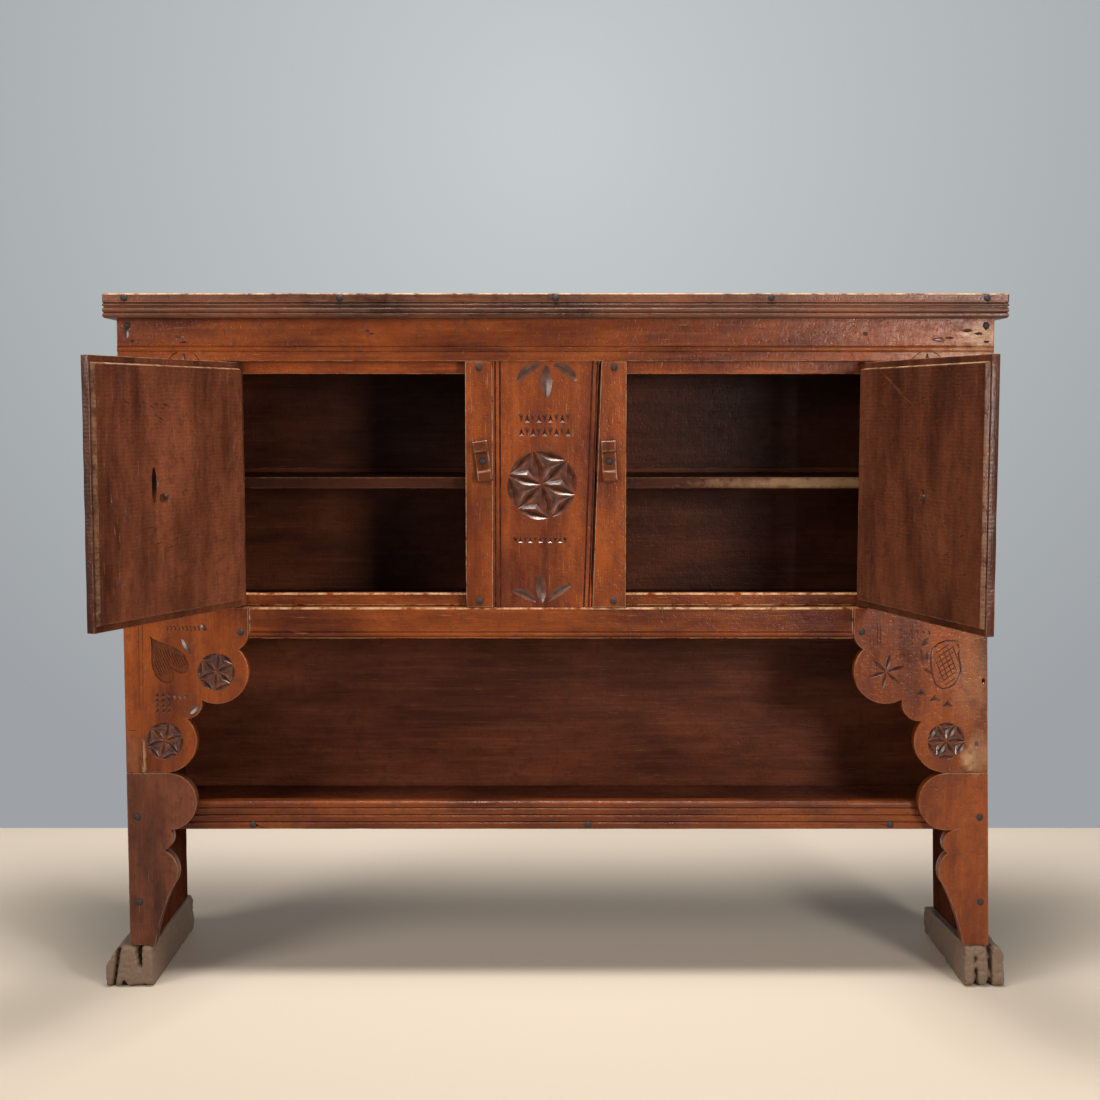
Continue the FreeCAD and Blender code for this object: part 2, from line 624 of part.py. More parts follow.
def button_nail(x, z):
    """The round-shanked nail that a turn button turns on, its head clear of the waist."""
    seat = -BUTTON_GAP - BUTTON_WAIST_THICKNESS - BUTTON_GAP
    shank = Part.makeCylinder(BUTTON_NAIL_RADIUS, NAIL_BITE - seat, V(x, seat, z), V(0, 1, 0))
    head = Part.makeCone(NAIL_HEAD / 2, NAIL_HEAD / 4, NAIL_HEAD_HEIGHT, V(x, seat, z), V(0, -1, 0))
    return shank.fuse(head).removeSplitter()


def slanted(left_top, left_low, right_top, right_low, y0):
    """An upright of the centre post whose long edges may lean."""
    ring = [V(left_low, y0, opening_z), V(right_low, y0, opening_z), V(right_top, y0, frieze_z),
            V(left_top, y0, frieze_z)]
    return prism(polygon(ring), V(0, FRONT_THICKNESS - y0, 0))


def quirk(low, high):
    """A V-shaped groove from one point of a front face to another."""
    run = high - low
    across = V(run.z, 0, -run.x).normalize() * QUIRK
    ring = [low - across, low + V(0, QUIRK, 0), low + across]
    return prism(polygon(ring), run)


def spread(count, reach):
    """Evenly spaced places along X, from one end of a reach to the other."""
    return [reach * (2 * k / (count - 1) - 1) for k in range(count)]


# Front frame
nodes = {}
left_board, left_centres = carved_stile(-1, LEFT_STILE_WIDTH)
right_board, right_centres = carved_stile(1, RIGHT_STILE_WIDTH)
left_chips = [c for place, turn in zip(left_centres, LEFT_ROSETTE_TURNS)
              for c in rosette(place, STILE_ROSETTE_RADIUS, turn)]
right_chips = star(right_centres[0], STILE_ROSETTE_RADIUS, STAR_TURN, STAR_PETAL_HALF_WIDTH)
right_chips += rosette(right_centres[1], STILE_ROSETTE_RADIUS, RIGHT_ROSETTE_TURN)
nodes["left_leg_board"] = leg_board(-1, LEFT_BUMP_DROP)
nodes["right_leg_board"] = leg_board(1, RIGHT_BUMP_DROP)
rail = beaded_rail(left_inner, right_inner, rail_z, opening_z, rail_z + RAIL_BEAD_RISE + BEAD_WIDTH / 2)
tenons = box(left_inner - RAIL_TENON_LENGTH, right_inner + RAIL_TENON_LENGTH, tenon_y,
             tenon_y + RAIL_TENON_THICKNESS, tenon_z, tenon_z + RAIL_TENON_HEIGHT)
nodes["bottom_rail"] = rail.fuse(tenons).removeSplitter()
frieze = beaded_rail(-half, half, frieze_z, top_z, frieze_z + FRIEZE_BEAD_RISE)

# Centre post
left_post = box(POST_LEFT_X, post_inner_x, 0, FRONT_THICKNESS, opening_z, frieze_z)
panel = slanted(post_inner_x, post_inner_x, panel_top, panel_low, PANEL_SET_BACK)
right_post = slanted(panel_top + PANEL_GAP, panel_low + PANEL_GAP, post_right_x, post_right_x, 0)
for inset in (PANEL_BEAD_INSET, PANEL_BEAD_INSET + BEAD_WIDTH):
    for top_x, low_x, way in ((post_inner_x, post_inner_x, 1), (panel_top, panel_low, -1)):
        panel = panel.cut(quirk(V(low_x + way * inset, PANEL_SET_BACK, opening_z),
                                V(top_x + way * inset, PANEL_SET_BACK, frieze_z)))
rosette_place = V((post_inner_x + panel_low) / 2, PANEL_SET_BACK, opening_z + PANEL_ROSETTE_RISE)
nodes["centre_panel"] = carved(
    panel, rosette(rosette_place, PANEL_ROSETTE_RADIUS, PANEL_ROSETTE_TURN))

# Stops behind the doors and the boards inside
nodes["upper_door_stop"] = box(left_gable_x, right_gable_x, FRONT_THICKNESS,
                               FRONT_THICKNESS + STOP_THICKNESS, frieze_z - UPPER_STOP_DROP,
                               frieze_z + STOP_LAP)
nodes["lower_door_stop"] = box(left_gable_x, right_gable_x, FRONT_THICKNESS,
                               FRONT_THICKNESS + STOP_THICKNESS, opening_z,
                               opening_z + LOWER_STOP_HEIGHT)
floor_board = housed_board(FRONT_THICKNESS, opening_z - FLOOR_THICKNESS, FLOOR_THICKNESS)
shelf_board = housed_board(FRONT_THICKNESS + SHELF_SET_BACK, shelf_z - SHELF_THICKNESS, SHELF_THICKNESS)
lower_board = housed_board(FRONT_THICKNESS + LIP_THICKNESS, LOWER_SHELF_Z, LOWER_SHELF_THICKNESS)
nodes["cupboard_floor"] = floor_board
nodes["middle_shelf"] = shelf_board
nodes["lower_shelf"] = lower_board
nodes.update(back_boards())
nodes["top_board"] = box(-half, half, 0, case_rear, top_z, crown_z)
nodes.update(top_mouldings())
nodes["left_foot"] = sled_foot(-1, LEFT_FOOT_WIDTH, case_rear, case_rear + LEFT_FOOT_TAIL,
                               LEFT_FOOT_TAIL_HEIGHT, LEFT_FOOT_CHAMFER_WIDTH)
nodes["right_foot"] = sled_foot(1, RIGHT_FOOT_WIDTH, FRONT_THICKNESS, case_rear + RIGHT_FOOT_TAIL,
                                RIGHT_FOOT_TAIL_HEIGHT, RIGHT_FOOT_CHAMFER_WIDTH)
for side, name in ((-1, "left"), (1, "right")):
    nodes[f"{name}_gable"] = gable(side, nodes[f"{name}_foot"], [floor_board, shelf_board, lower_board])
nodes["lower_shelf_lip"] = lip_rail().cut(nodes["right_gable"])

# Doors and the holes that their pins turn in
left_hinge = left_inner - DOOR_NOTCH + DOOR_HINGE_GAP
right_hinge = right_inner + DOOR_NOTCH - DOOR_HINGE_GAP
left_pieces, left_axis = door(-1, "left", left_hinge, POST_LEFT_X - DOOR_FREE_GAP, LEFT_OPEN_ANGLE)
right_pieces, right_axis = door(1, "right", right_hinge, post_right_x + DOOR_FREE_GAP, RIGHT_OPEN_ANGLE)
nodes.update(left_pieces)
nodes.update(right_pieces)
hole = PIVOT_RADIUS + PIVOT_FIT
for axis_x in (left_axis, right_axis):
    frieze = frieze.cut(pivot(axis_x, frieze_z, frieze_z + PIVOT_IN_FRAME, hole))
left_board = left_board.cut(pivot(left_axis, opening_z - PIVOT_IN_FRAME, opening_z, hole))
right_board = right_board.cut(pivot(right_axis, opening_z - PIVOT_IN_FRAME, opening_z, hole))
nodes["frieze_rail"] = frieze
nodes["left_carved_stile"] = carved(left_board, left_chips)
nodes["right_carved_stile"] = carved(right_board, right_chips)

# Turn buttons on the centre post
button_z = opening_z + BUTTON_RISE
for name, x, tilt in (("left", POST_LEFT_X + BUTTON_INSET, LEFT_BUTTON_TILT),
                      ("right", post_right_x - BUTTON_INSET, RIGHT_BUTTON_TILT)):
    nodes[f"{name}_turn_button"] = turn_button(x, button_z, tilt)
    nodes[f"{name}_button_nail"] = button_nail(x, button_z)
left_post = left_post.cut(nodes["left_button_nail"])
right_post = right_post.cut(nodes["right_button_nail"])
nodes["left_centre_stile"] = left_post
nodes["right_centre_stile"] = right_post

# Forged nails, each driven through its board into the piece behind
post_xs = (POST_LEFT_X + LEFT_POST_STILE_WIDTH / 2, (panel_top + PANEL_GAP + post_right_x) / 2)
gable_mids = [(side, half - gable_thickness[side] / 2) for side in (-1, 1)]
tenon_xs = (left_inner - RAIL_TENON_LENGTH / 2, right_inner + RAIL_TENON_LENGTH / 2)
stop_zs = (frieze_z - UPPER_STOP_DROP / 2, opening_z + LOWER_STOP_HEIGHT / 2)
leg_zs = (joint_z - LEG_NAIL_DROP, FOOT_HEIGHT + LEG_NAIL_DROP)
frieze_nail_z = top_z - MOULDING_HEIGHT + TOP_THICKNESS - NAIL_HEAD
moulding_xs = spread(MOULDING_NAIL_COUNT, half - MOULDING_DEPTH)
nail_rows = {
    "moulding_nails": (-MOULDING_DEPTH, MOULDING_DEPTH + NAIL_BITE,
                       [(x, crown_z - REED_TOP / 2) for x in moulding_xs]),
    "frieze_nails": (0, FRONT_THICKNESS + NAIL_BITE,
                     [(side * x, frieze_nail_z) for side, x in gable_mids]),
    "centre_stile_nails": (0, FRONT_THICKNESS + NAIL_BITE, [(x, z) for x in post_xs for z in stop_zs]),
    "stile_nails": (0, tenon_y + RAIL_TENON_THICKNESS, [(x, tenon_z + NAIL_HEAD / 2) for x in tenon_xs]),
    "leg_nails": (0, FRONT_THICKNESS + NAIL_BITE,
                  [(side * (x + splay(side, z)), z) for side, x in gable_mids for z in leg_zs]),
    "lip_nails": (FRONT_THICKNESS, LIP_THICKNESS + NAIL_BITE,
                  [(x, LOWER_SHELF_Z + LOWER_SHELF_THICKNESS / 2) for x in LIP_NAIL_PLACES]),
}
for name, (face_y, bite, places) in nail_rows.items():
    nails = [nail(x, z, face_y, bite) for x, z in places]
    for shape in nails:
        for node, board in list(nodes.items()):
            if node.endswith("_nails") or not board.BoundBox.intersect(shape.BoundBox):
                continue
            nodes[node] = board.cut(shape)
    nodes[name] = Part.makeCompound(nails)

# Centre the part in depth and write every piece
os.makedirs("parts", exist_ok=True)
whole = Part.makeCompound(list(nodes.values())).BoundBox
shift = V(0, -(whole.YMin + whole.YMax) / 2, 0)
for name, shape in nodes.items():
    shape.translate(shift)
    shape.exportStep(f"parts/{name}.step")
    print(name, len(shape.Solids), shape.isValid(), round(shape.Volume))
print("front face y", round(shift.y, 4))
print("door axes x", left_axis, right_axis, "y", round(pivot_y + shift.y, 4))
print("button axes x", POST_LEFT_X + BUTTON_INSET, post_right_x - BUTTON_INSET, "z", button_z)
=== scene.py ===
"""Old carved cupboard on sled feet: waxed boards, chip carving, wear and forged iron."""

import math

import bmesh
import bpy
from mathutils import Matrix, Vector, noise


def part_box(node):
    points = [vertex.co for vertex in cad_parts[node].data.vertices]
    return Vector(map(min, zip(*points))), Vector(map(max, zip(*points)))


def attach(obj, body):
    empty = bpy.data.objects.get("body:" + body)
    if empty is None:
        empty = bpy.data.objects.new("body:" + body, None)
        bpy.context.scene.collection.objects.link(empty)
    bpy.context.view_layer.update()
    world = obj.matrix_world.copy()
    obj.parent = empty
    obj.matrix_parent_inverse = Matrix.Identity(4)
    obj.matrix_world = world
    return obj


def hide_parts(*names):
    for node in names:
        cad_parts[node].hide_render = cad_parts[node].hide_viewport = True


bl_info = {
    "name": "Carved Cupboard",
    "version": (1, 0, 0),
    "blender": (4, 5, 0),
    "location": "View3D > Sidebar > Cupboard",
    "description": "Dresses the packed cupboard in waxed wood, chip carving, wear and forged iron",
    "category": "Object",
}

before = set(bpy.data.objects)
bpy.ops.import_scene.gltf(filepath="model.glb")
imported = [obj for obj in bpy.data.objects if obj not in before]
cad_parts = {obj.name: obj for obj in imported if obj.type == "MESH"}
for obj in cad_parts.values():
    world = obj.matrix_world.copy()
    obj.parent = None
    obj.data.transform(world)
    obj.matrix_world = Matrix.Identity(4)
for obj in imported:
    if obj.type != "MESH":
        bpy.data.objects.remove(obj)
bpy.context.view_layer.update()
MM = 0.001
# Without a seed the vector noise starts from the clock
noise.seed_set(11)
FORWARD = (0.0, -1.0, 0.0)
# How far a cut stands proud of the face that it is taken from
LIFT = 1.5 * MM
# Edges shorter than this are the rims of nail holes, which stay sharp
NAIL_RIM = 1.5 * MM
# Tone of the flat grounds of sunk carving, darker as painted shade in the recesses
SUNK_SHADE_TONE = 0.66

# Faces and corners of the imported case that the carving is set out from, in metres
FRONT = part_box("frieze_rail")[0].y
PANEL_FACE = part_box("centre_panel")[0].y
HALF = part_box("frieze_rail")[1].x
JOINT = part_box("left_carved_stile")[0].z


def linear(code):
    """A scene colour from an sRGB hex value."""
    parts = [int(code[i:i + 2], 16) / 255 for i in (1, 3, 5)]
    return [c / 12.92 if c <= 0.04045 else ((c + 0.055) / 1.055) ** 2.4 for c in parts] + [1.0]


def colour(label, use, code):
    """A colour setting with a hex default."""
    return bpy.props.FloatVectorProperty(
        name=label, description=use, subtype="COLOR", size=4, min=0.0, max=1.0, default=linear(code))


def length(label, use, millimetres):
    """A length setting with a default in millimetres."""
    return bpy.props.FloatProperty(
        name=label, description=use, unit="LENGTH", precision=5, default=millimetres * MM)


def amount(label, use, value):
    """A plain share or strength."""
    return bpy.props.FloatProperty(name=label, description=use, default=value, min=0.0)


class CupboardFinish(bpy.types.PropertyGroup):
    """Colours of the cupboard's woods and iron."""

    wax_deep: colour("Deep wax", "Late growth and rubbed-in wax on the front boards", "#4b1a08")
    wax_mid: colour("Waxed wood", "Body colour of the front boards", "#8d4518")
    wax_light: colour("Light wax", "Early growth on the front boards", "#b56f38")
    smoke_deep: colour("Deep inside", "Darkest streaks of the inner boards", "#371a10")
    smoke_mid: colour("Inside", "Body colour of the inner boards", "#5a2f1e")
    smoke_light: colour("Light inside", "Lighter streaks of the inner boards", "#7a4a33")
    door_deep: colour("Deep door", "Darkest streaks of the doors", "#33170e")
    door_mid: colour("Door", "Body colour of the doors", "#6c3c28")
    door_light: colour("Light door", "Lighter streaks of the doors", "#96674f")
    bare: colour("Bare wood", "Wood where the wax is worn off", "#c09a72")
    cut: colour("Carved cuts", "Dirt and old wax in the chip carving", "#3f1d0f")
    foot: colour("Weathered foot", "Grey-brown end grain and sides of the feet", "#6c513c")
    iron: colour("Forged iron", "Dark hammered iron", "#251d19")


class CupboardWear(bpy.types.PropertyGroup):
    """How far the edges and faces have worn."""

    arris: length("Arris", "Rounding of the boards' long edges", 2.2)
    fine_arris: length("Fine arris", "Rounding of thin or moulded edges", 1.0)
    step: length("Step", "Spacing of the cuts that let a long edge wander", 32.0)
    wander: length("Wander", "How far a hand-planed face strays", 0.45)
    dent: length("Dent", "Deepest dent along a worn edge", 1.8)


class CupboardStage(bpy.types.PropertyGroup):
    """Floor, background, lamps and camera."""

    floor: colour("Floor", "Pale floor in front", "#b8ae9f")
    # The far floor colour is paler as painted light
    floor_far_painted_light: colour("Far floor", "Pale floor at its far edge", "#e8dccd")
    wall_lit_middle: colour("Light wall", "Background behind the middle of the piece", "#c6cccd")
    wall_shaded_corners: colour("Dark wall", "Background towards its corners", "#9ea2a6")
    wall_gap: length("Floor edge", "Where the floor ends behind the front face", 1050.0)
    key: amount("Key", "Power of each overhead softbox in watts", 60.0)
    fill: amount("Fill", "Power in watts that the two side softboxes are set from", 33.0)
    ambient: amount("Ambient", "Strength of the even light from all round", 0.1)
    distance: length("Camera distance", "From the camera to the front face", 2664.2)
    height: length("Camera height", "From the floor to the camera", 960.6)
    offset: length("Camera offset", "From the middle of the piece to the camera", -9.0)
    pitch: bpy.props.FloatProperty(
        name="Pitch", description="Downward tilt of the camera", subtype="ANGLE",
        default=math.radians(4.764))
    lens: bpy.props.FloatProperty(
        name="Lens", description="Focal length on a 36 mm wide sensor", default=53.02)


def feed(tree, node, inputs):
    """Sets a node's sockets to values, or links them to the nodes and outputs that feed them."""
    for key, value in dict(inputs).items():
        if isinstance(key, str):
            key = next(i for i, s in enumerate(node.inputs) if s.name == key and s.enabled)
        if isinstance(value, bpy.types.Node):
            value = next(s for s in value.outputs if s.enabled)
        if isinstance(value, bpy.types.NodeSocket):
            tree.links.new(value, node.inputs[key])
        else:
            node.inputs[key].default_value = value


def add(tree, kind, inputs=(), **settings):
    """Adds one node with its settings and links."""
    made = tree.nodes.new(kind)
    for key, value in settings.items():
        setattr(made, key, value)
    feed(tree, made, inputs)
    return made


def blank(name):
    """A new node material, its tree and its shader."""
    made = bpy.data.materials.new(name)
    made.use_nodes = True
    return made, made.node_tree, made.node_tree.nodes["Principled BSDF"]


def stretch(axis, along, across):
    """Cycles per metre of a grain pattern, few along the grain and many across it."""
    return [along if i == "XYZ".index(axis) else across for i in range(3)]


def old_board(name, axis, deep, middle, light, bare, gloss, sheen, figure, chatter, bald=()):
    """Softwood board planed by hand, then waxed and handled for many years: the eye gets faint growth
    lines and streaks along the grain, ripples of the plane across it, dark blotches of old wax, glinting
    dents, pale scratches and rubbed edges. figure and chatter say how strongly the growth lines and the
    ripples show. bald lists places where the wax is thin, as a middle, three half widths and how much
    wood shows."""
    made, tree, shader = blank(name)
    place = add(tree, "ShaderNodeTexCoord").outputs["Object"]
    board, tone, worn = (add(tree, "ShaderNodeAttribute", attribute_name=layer).outputs["Fac"]
                         for layer in ("board", "tone", "worn"))
    # Growth lines 8 mm apart that wander over a hand's length, and plane ripples 6 mm apart
    lines = add(tree, "ShaderNodeTexWave", {
        "Vector": add(tree, "ShaderNodeMapping", {"Vector": place, "Scale": stretch(axis, 0.12, 1.0)}),
        "Scale": 39.0, "Distortion": 9.0, "Detail": 3.0, "Detail Scale": 0.5, "Phase Offset": board},
        bands_direction="X" if axis == "Z" else "Z").outputs["Fac"]
    ripples = add(tree, "ShaderNodeTexWave", {
        "Vector": place, "Scale": 52.0, "Distortion": 5.0, "Detail": 2.0, "Detail Scale": 0.4,
        "Phase Offset": board}, bands_direction=axis).outputs["Fac"]
    # Streaks 9 mm and fibres 1.6 mm wide; blotches of wax a hand wide and three long; smears a finger
    # wide; hollows 5 mm wide; and slanting nicks 1 mm wide and 40 mm long
    streaks, fibres, blotches, rubs, hollows, nicks = (add(tree, "ShaderNodeTexNoise", {
        "Vector": add(tree, "ShaderNodeMapping", {
            "Vector": place, "Rotation": (0.0, slant, 0.0), "Scale": stretch(axis, along, across)}),
        "W": board, "Scale": size, "Detail": detail, "Roughness": fine, "Distortion": bend},
        noise_dimensions="4D")
        for along, across, size, slant, detail, fine, bend in (
            (5, 110, 1, 0.0, 4.0, 0.5, 0.6), (30, 620, 1, 0.0, 2.0, 0.5, 0.0),
            (4, 12, 1, 0.0, 7.0, 0.62, 0.0), (1, 1, 60, 0.0, 5.0, 0.65, 0.0),
            (1, 1, 190, 0.0, 2.0, 0.5, 0.0), (25, 700, 1, 0.4, 1.0, 0.5, 0.0)))
    dents = add(tree, "ShaderNodeMapRange", {"Value": hollows, "From Min": 0.56, "From Max": 0.74})
    scratches = add(tree, "ShaderNodeMapRange", {"Value": nicks, "From Min": 0.7, "From Max": 0.78})
    # Over the body colour lie blotches, streaks, growth lines, scratches and smears
    shown = middle
    for pattern, low, high, share, tint in (
            (blotches, 0.34, 0.62, 1.0, deep), (streaks, 0.46, 0.72, figure, light),
            (lines, 0.6, 1.0, figure * 0.5, deep), (scratches, 0.0, 1.0, 0.55, light),
            (rubs, 0.5, 0.72, 0.65, deep)):
        shown = add(tree, "ShaderNodeMix", {
            "Factor": add(tree, "ShaderNodeMapRange", {
                "Value": pattern, "From Min": low, "From Max": high, "To Max": share}),
            "A": shown, "B": tint}, data_type="RGBA")
    # Ambient occlusion darkens grooves and corners within 8 mm: painted shade, standing also for dirt
    corners = add(tree, "ShaderNodeAmbientOcclusion", {"Distance": 0.008}, samples=4)
    painted_shade_and_dirt = add(tree, "ShaderNodeMapRange", {
        "Value": corners.outputs["AO"], "From Min": 0.35, "From Max": 0.9, "To Min": 0.62, "To Max": 1.0})
    grain = add(tree, "ShaderNodeMapRange", {
        "Value": fibres, "From Min": 0.3, "From Max": 0.7, "To Min": 0.89, "To Max": 1.1})
    value = add(tree, "ShaderNodeMath", {0: tone, 1: grain}, operation="MULTIPLY")
    value = add(tree, "ShaderNodeMath", {0: value, 1: painted_shade_and_dirt}, operation="MULTIPLY")
    shaded = add(tree, "ShaderNodeVectorMath", {0: shown, "Scale": value}, operation="SCALE")
    # The wax is rubbed thin in patches along the edges, and gone in the bald places. The worn attribute
    # also carries painted highlights and sheen on the top mouldings, the door steps and the rail arrises,
    # made pale the same way
    thin = add(tree, "ShaderNodeMath", {
        0: worn, 1: add(tree, "ShaderNodeMapRange", {
            "Value": rubs, "From Min": 0.38, "From Max": 0.58, "To Max": 0.55})}, operation="MULTIPLY")
    final = add(tree, "ShaderNodeMix", {"Factor": thin, "A": shaded, "B": bare}, data_type="RGBA")
    for middle_point, half_widths, share in bald:
        offset = add(tree, "ShaderNodeVectorMath", {0: place, 1: middle_point}, operation="SUBTRACT")
        offset = add(tree, "ShaderNodeVectorMath", {0: offset, 1: half_widths}, operation="DIVIDE")
        reach = add(tree, "ShaderNodeVectorMath", {0: offset}, operation="LENGTH").outputs["Value"]
        ragged = add(tree, "ShaderNodeMath", {0: rubs, 1: 1.8, 2: reach}, operation="MULTIPLY_ADD")
        final = add(tree, "ShaderNodeMix", {
            "Factor": add(tree, "ShaderNodeMapRange", {
                "Value": ragged, "From Min": 2.0, "From Max": 1.3, "To Max": share}),
            "A": final,
            "B": add(tree, "ShaderNodeVectorMath", {0: bare[:3], "Scale": grain}, operation="SCALE")},
            data_type="RGBA")
    # A few worm holes 2 mm across
    cells = add(tree, "ShaderNodeTexVoronoi", {"Vector": place, "Scale": 42.0})
    near = add(tree, "ShaderNodeMapRange", {
        "Value": cells.outputs["Distance"], "From Min": 0.05, "From Max": 0.035})
    chosen = add(tree, "ShaderNodeMath", {
        0: add(tree, "ShaderNodeSeparateColor", {"Color": cells.outputs["Color"]}).outputs["Red"],
        1: 0.93}, operation="GREATER_THAN")
    hole = add(tree, "ShaderNodeMath", {0: near, 1: chosen}, operation="MULTIPLY")
    holed = add(tree, "ShaderNodeMix", {
        "Factor": hole, "A": final, "B": linear("#1a0d08")}, data_type="RGBA")
    rough = add(tree, "ShaderNodeMapRange", {
        "Value": rubs, "From Min": 0.3, "From Max": 0.7, "To Min": gloss - 0.1, "To Max": gloss + 0.16})
    relief = streaks
    for pattern, height in ((fibres, 0.5), (rubs, 2.2), (ripples, chatter), (dents, -0.7),
                            (scratches, -0.4), (hole, -1.0)):
        relief = add(tree, "ShaderNodeMath", {0: pattern, 1: height, 2: relief}, operation="MULTIPLY_ADD")
    bump = add(tree, "ShaderNodeBump", {"Strength": 0.55, "Distance": 0.0009, "Height": relief})
    feed(tree, shader, {
        "Base Color": holed, "Roughness": rough, "Specular IOR Level": sheen, "Normal": bump})
    return made


def carved_cut(name, dark, light):
    """Softwood sliced with a knife, its cuts full of old wax and dust: dark, smooth and shiny,
    with paler wood along the ridges."""
    made, tree, shader = blank(name)
    place = add(tree, "ShaderNodeTexCoord").outputs["Object"]
    # Wax lies in patches about 12 mm wide
    patches = add(tree, "ShaderNodeTexNoise", {"Vector": place, "Scale": 85.0, "Detail": 4.0})
    tint = add(tree, "ShaderNodeMix", {
        "Factor": add(tree, "ShaderNodeMapRange", {
            "Value": patches, "From Min": 0.4, "From Max": 0.75, "To Max": 0.5}),
        "A": dark, "B": light}, data_type="RGBA")
    # Ambient occlusion darkens the bottoms of cuts within 6 mm of their sides: painted shade, standing also
    # for dirt
    corners = add(tree, "ShaderNodeAmbientOcclusion", {"Distance": 0.006}, samples=4)
    painted_shade_and_dirt = add(tree, "ShaderNodeMapRange", {
        "Value": corners.outputs["AO"], "From Min": 0.3, "From Max": 0.9, "To Min": 0.35, "To Max": 1.0})
    shaded = add(tree, "ShaderNodeVectorMath", {0: tint, "Scale": painted_shade_and_dirt}, operation="SCALE")
    bump = add(tree, "ShaderNodeBump", {"Strength": 0.3, "Distance": 0.0006, "Height": patches})
    feed(tree, shader, {
        "Base Color": shaded, "Roughness": 0.33, "Specular IOR Level": 0.7, "Normal": bump})
    return made


def weathered_block(name, body):
    """Softwood foot that stood in the damp: grey, dry and furrowed along the grain."""
    made, tree, shader = blank(name)
    place = add(tree, "ShaderNodeTexCoord").outputs["Object"]
    # Furrows 5 mm apart along the foot, and damp stains 60 mm wide
    furrows = add(tree, "ShaderNodeTexNoise", {
        "Vector": add(tree, "ShaderNodeMapping", {"Vector": place, "Scale": stretch("Y", 9, 210)}),
        "Scale": 1.0, "Detail": 5.0, "Roughness": 0.6})
    stains = add(tree, "ShaderNodeTexNoise", {"Vector": place, "Scale": 17.0, "Detail": 5.0})
    streaked = add(tree, "ShaderNodeMix", {
        "Factor": add(tree, "ShaderNodeMapRange", {"Value": furrows, "From Min": 0.35, "From Max": 0.62}),
        "A": linear("#2e2019"), "B": body}, data_type="RGBA")
    stained = add(tree, "ShaderNodeMix", {
        "Factor": add(tree, "ShaderNodeMapRange", {
            "Value": stains, "From Min": 0.45, "From Max": 0.7, "To Max": 0.6}),
        "A": streaked, "B": linear("#7f6a57")}, data_type="RGBA")
    bump = add(tree, "ShaderNodeBump", {"Strength": 0.6, "Distance": 0.0015, "Height": furrows})
    feed(tree, shader, {"Base Color": stained, "Roughness": 0.8, "Normal": bump})
    return made


def hammered_iron(name, body):
    """Forged iron, dark with scale and wax: dull, dented by the hammer, with rusty spots."""
    made, tree, shader = blank(name)
    place = add(tree, "ShaderNodeTexCoord").outputs["Object"]
    # Hammer facets about 4 mm wide
    facets = add(tree, "ShaderNodeTexNoise", {"Vector": place, "Scale": 240.0, "Detail": 3.0})
    tint = add(tree, "ShaderNodeMix", {
        "Factor": add(tree, "ShaderNodeMapRange", {"Value": facets, "From Min": 0.5, "From Max": 0.75}),
        "A": body, "B": linear("#4a3328")}, data_type="RGBA")
    bump = add(tree, "ShaderNodeBump", {"Strength": 0.5, "Distance": 0.0008, "Height": facets})
    feed(tree, shader, {"Base Color": tint, "Metallic": 0.05, "Roughness": 0.55,
                        "Specular IOR Level": 0.12, "Normal": bump})
    return made


def board_mesh(node):
    """A merged copy of a CAD node's mesh, with its flat faces whole again."""
    bm = bmesh.new()
    bm.from_mesh(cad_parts[node].data)
    bmesh.ops.remove_doubles(bm, verts=bm.verts, dist=1e-6)
    bmesh.ops.dissolve_limit(bm, angle_limit=math.radians(0.5), verts=bm.verts, edges=bm.edges)
    return bm


def slices(bm, axis, step):
    """Cuts a mesh across an axis at even steps, so that its long edges can wander."""
    places = [v.co[axis] for v in bm.verts]
    low, high = min(places), max(places)
    count = int((high - low) / step)
    turn = Vector([float(i == axis) for i in range(3)])
    for k in range(1, count):
        geometry = bm.verts[:] + bm.edges[:] + bm.faces[:]
        bmesh.ops.bisect_plane(bm, geom=geometry, dist=1e-6, plane_no=turn,
                               plane_co=turn * (low + (high - low) * k / count))


def wear(bm, arris, axis, wear_set, seed, sharp=50.0, rub=1.0):
    """Rounds the convex edges of a board but not the rims of its nail holes, then lets faces and edges
    wander and dents the edges; rub says how much of the wax on the edges is gone."""
    worn = bm.faces.layers.float.new("worn")
    edges = [e for e in bm.edges if e.is_manifold and e.is_convex and e.calc_length() > NAIL_RIM
             and e.calc_face_angle() > math.radians(sharp)]
    rounded = bmesh.ops.bevel(bm, geom=edges, offset=arris, offset_type="OFFSET", affect="EDGES",
                              segments=2, profile=0.5, clamp_overlap=False, material=-1)
    for face in rounded["faces"]:
        face[worn] = rub
    slices(bm, axis, wear_set.step)
    low, high = ([pick(v.co[i] for v in bm.verts) for i in range(3)] for pick in (min, max))
    centre = (Vector(low) + Vector(high)) / 2
    shift = Vector((seed * 3.7, seed * 1.9, seed * 5.3))
    for v in bm.verts:
        stray = noise.noise_vector(v.co * 9 + shift) * wear_set.wander
        on_edge = sum(f[worn] > 0 for f in v.link_faces) / max(1, len(v.link_faces))
        hit = max(0.0, noise.noise(v.co * 31 + shift) - 0.1) * wear_set.dent * on_edge
        inward = Vector([math.copysign(1.0, c) if i != axis else 0.0
                         for i, c in enumerate(centre - v.co)])
        moved = v.co + stray * 0.5 + inward * hit
        v.co = [min(max(moved[i], low[i]), high[i]) for i in range(3)]


def crisp(bm, front=FORWARD):
    """Marks the edges that stay sharp: steep ones, and the rims of flat faces that look to the front."""
    steep = math.radians(28)
    flat = 0.985
    for edge in bm.edges:
        turn = edge.calc_face_angle(math.pi)
        level = [f.normal.dot(front) > flat for f in edge.link_faces]
        edge.smooth = turn < steep and (all(level) or not any(level))
    for face in bm.faces:
        face.smooth = True


def placed(name, data):
    """Puts a mesh, lamp or camera in the scene as an object."""
    made = bpy.data.objects.new(name, data)
    bpy.context.scene.collection.objects.link(made)
    return made


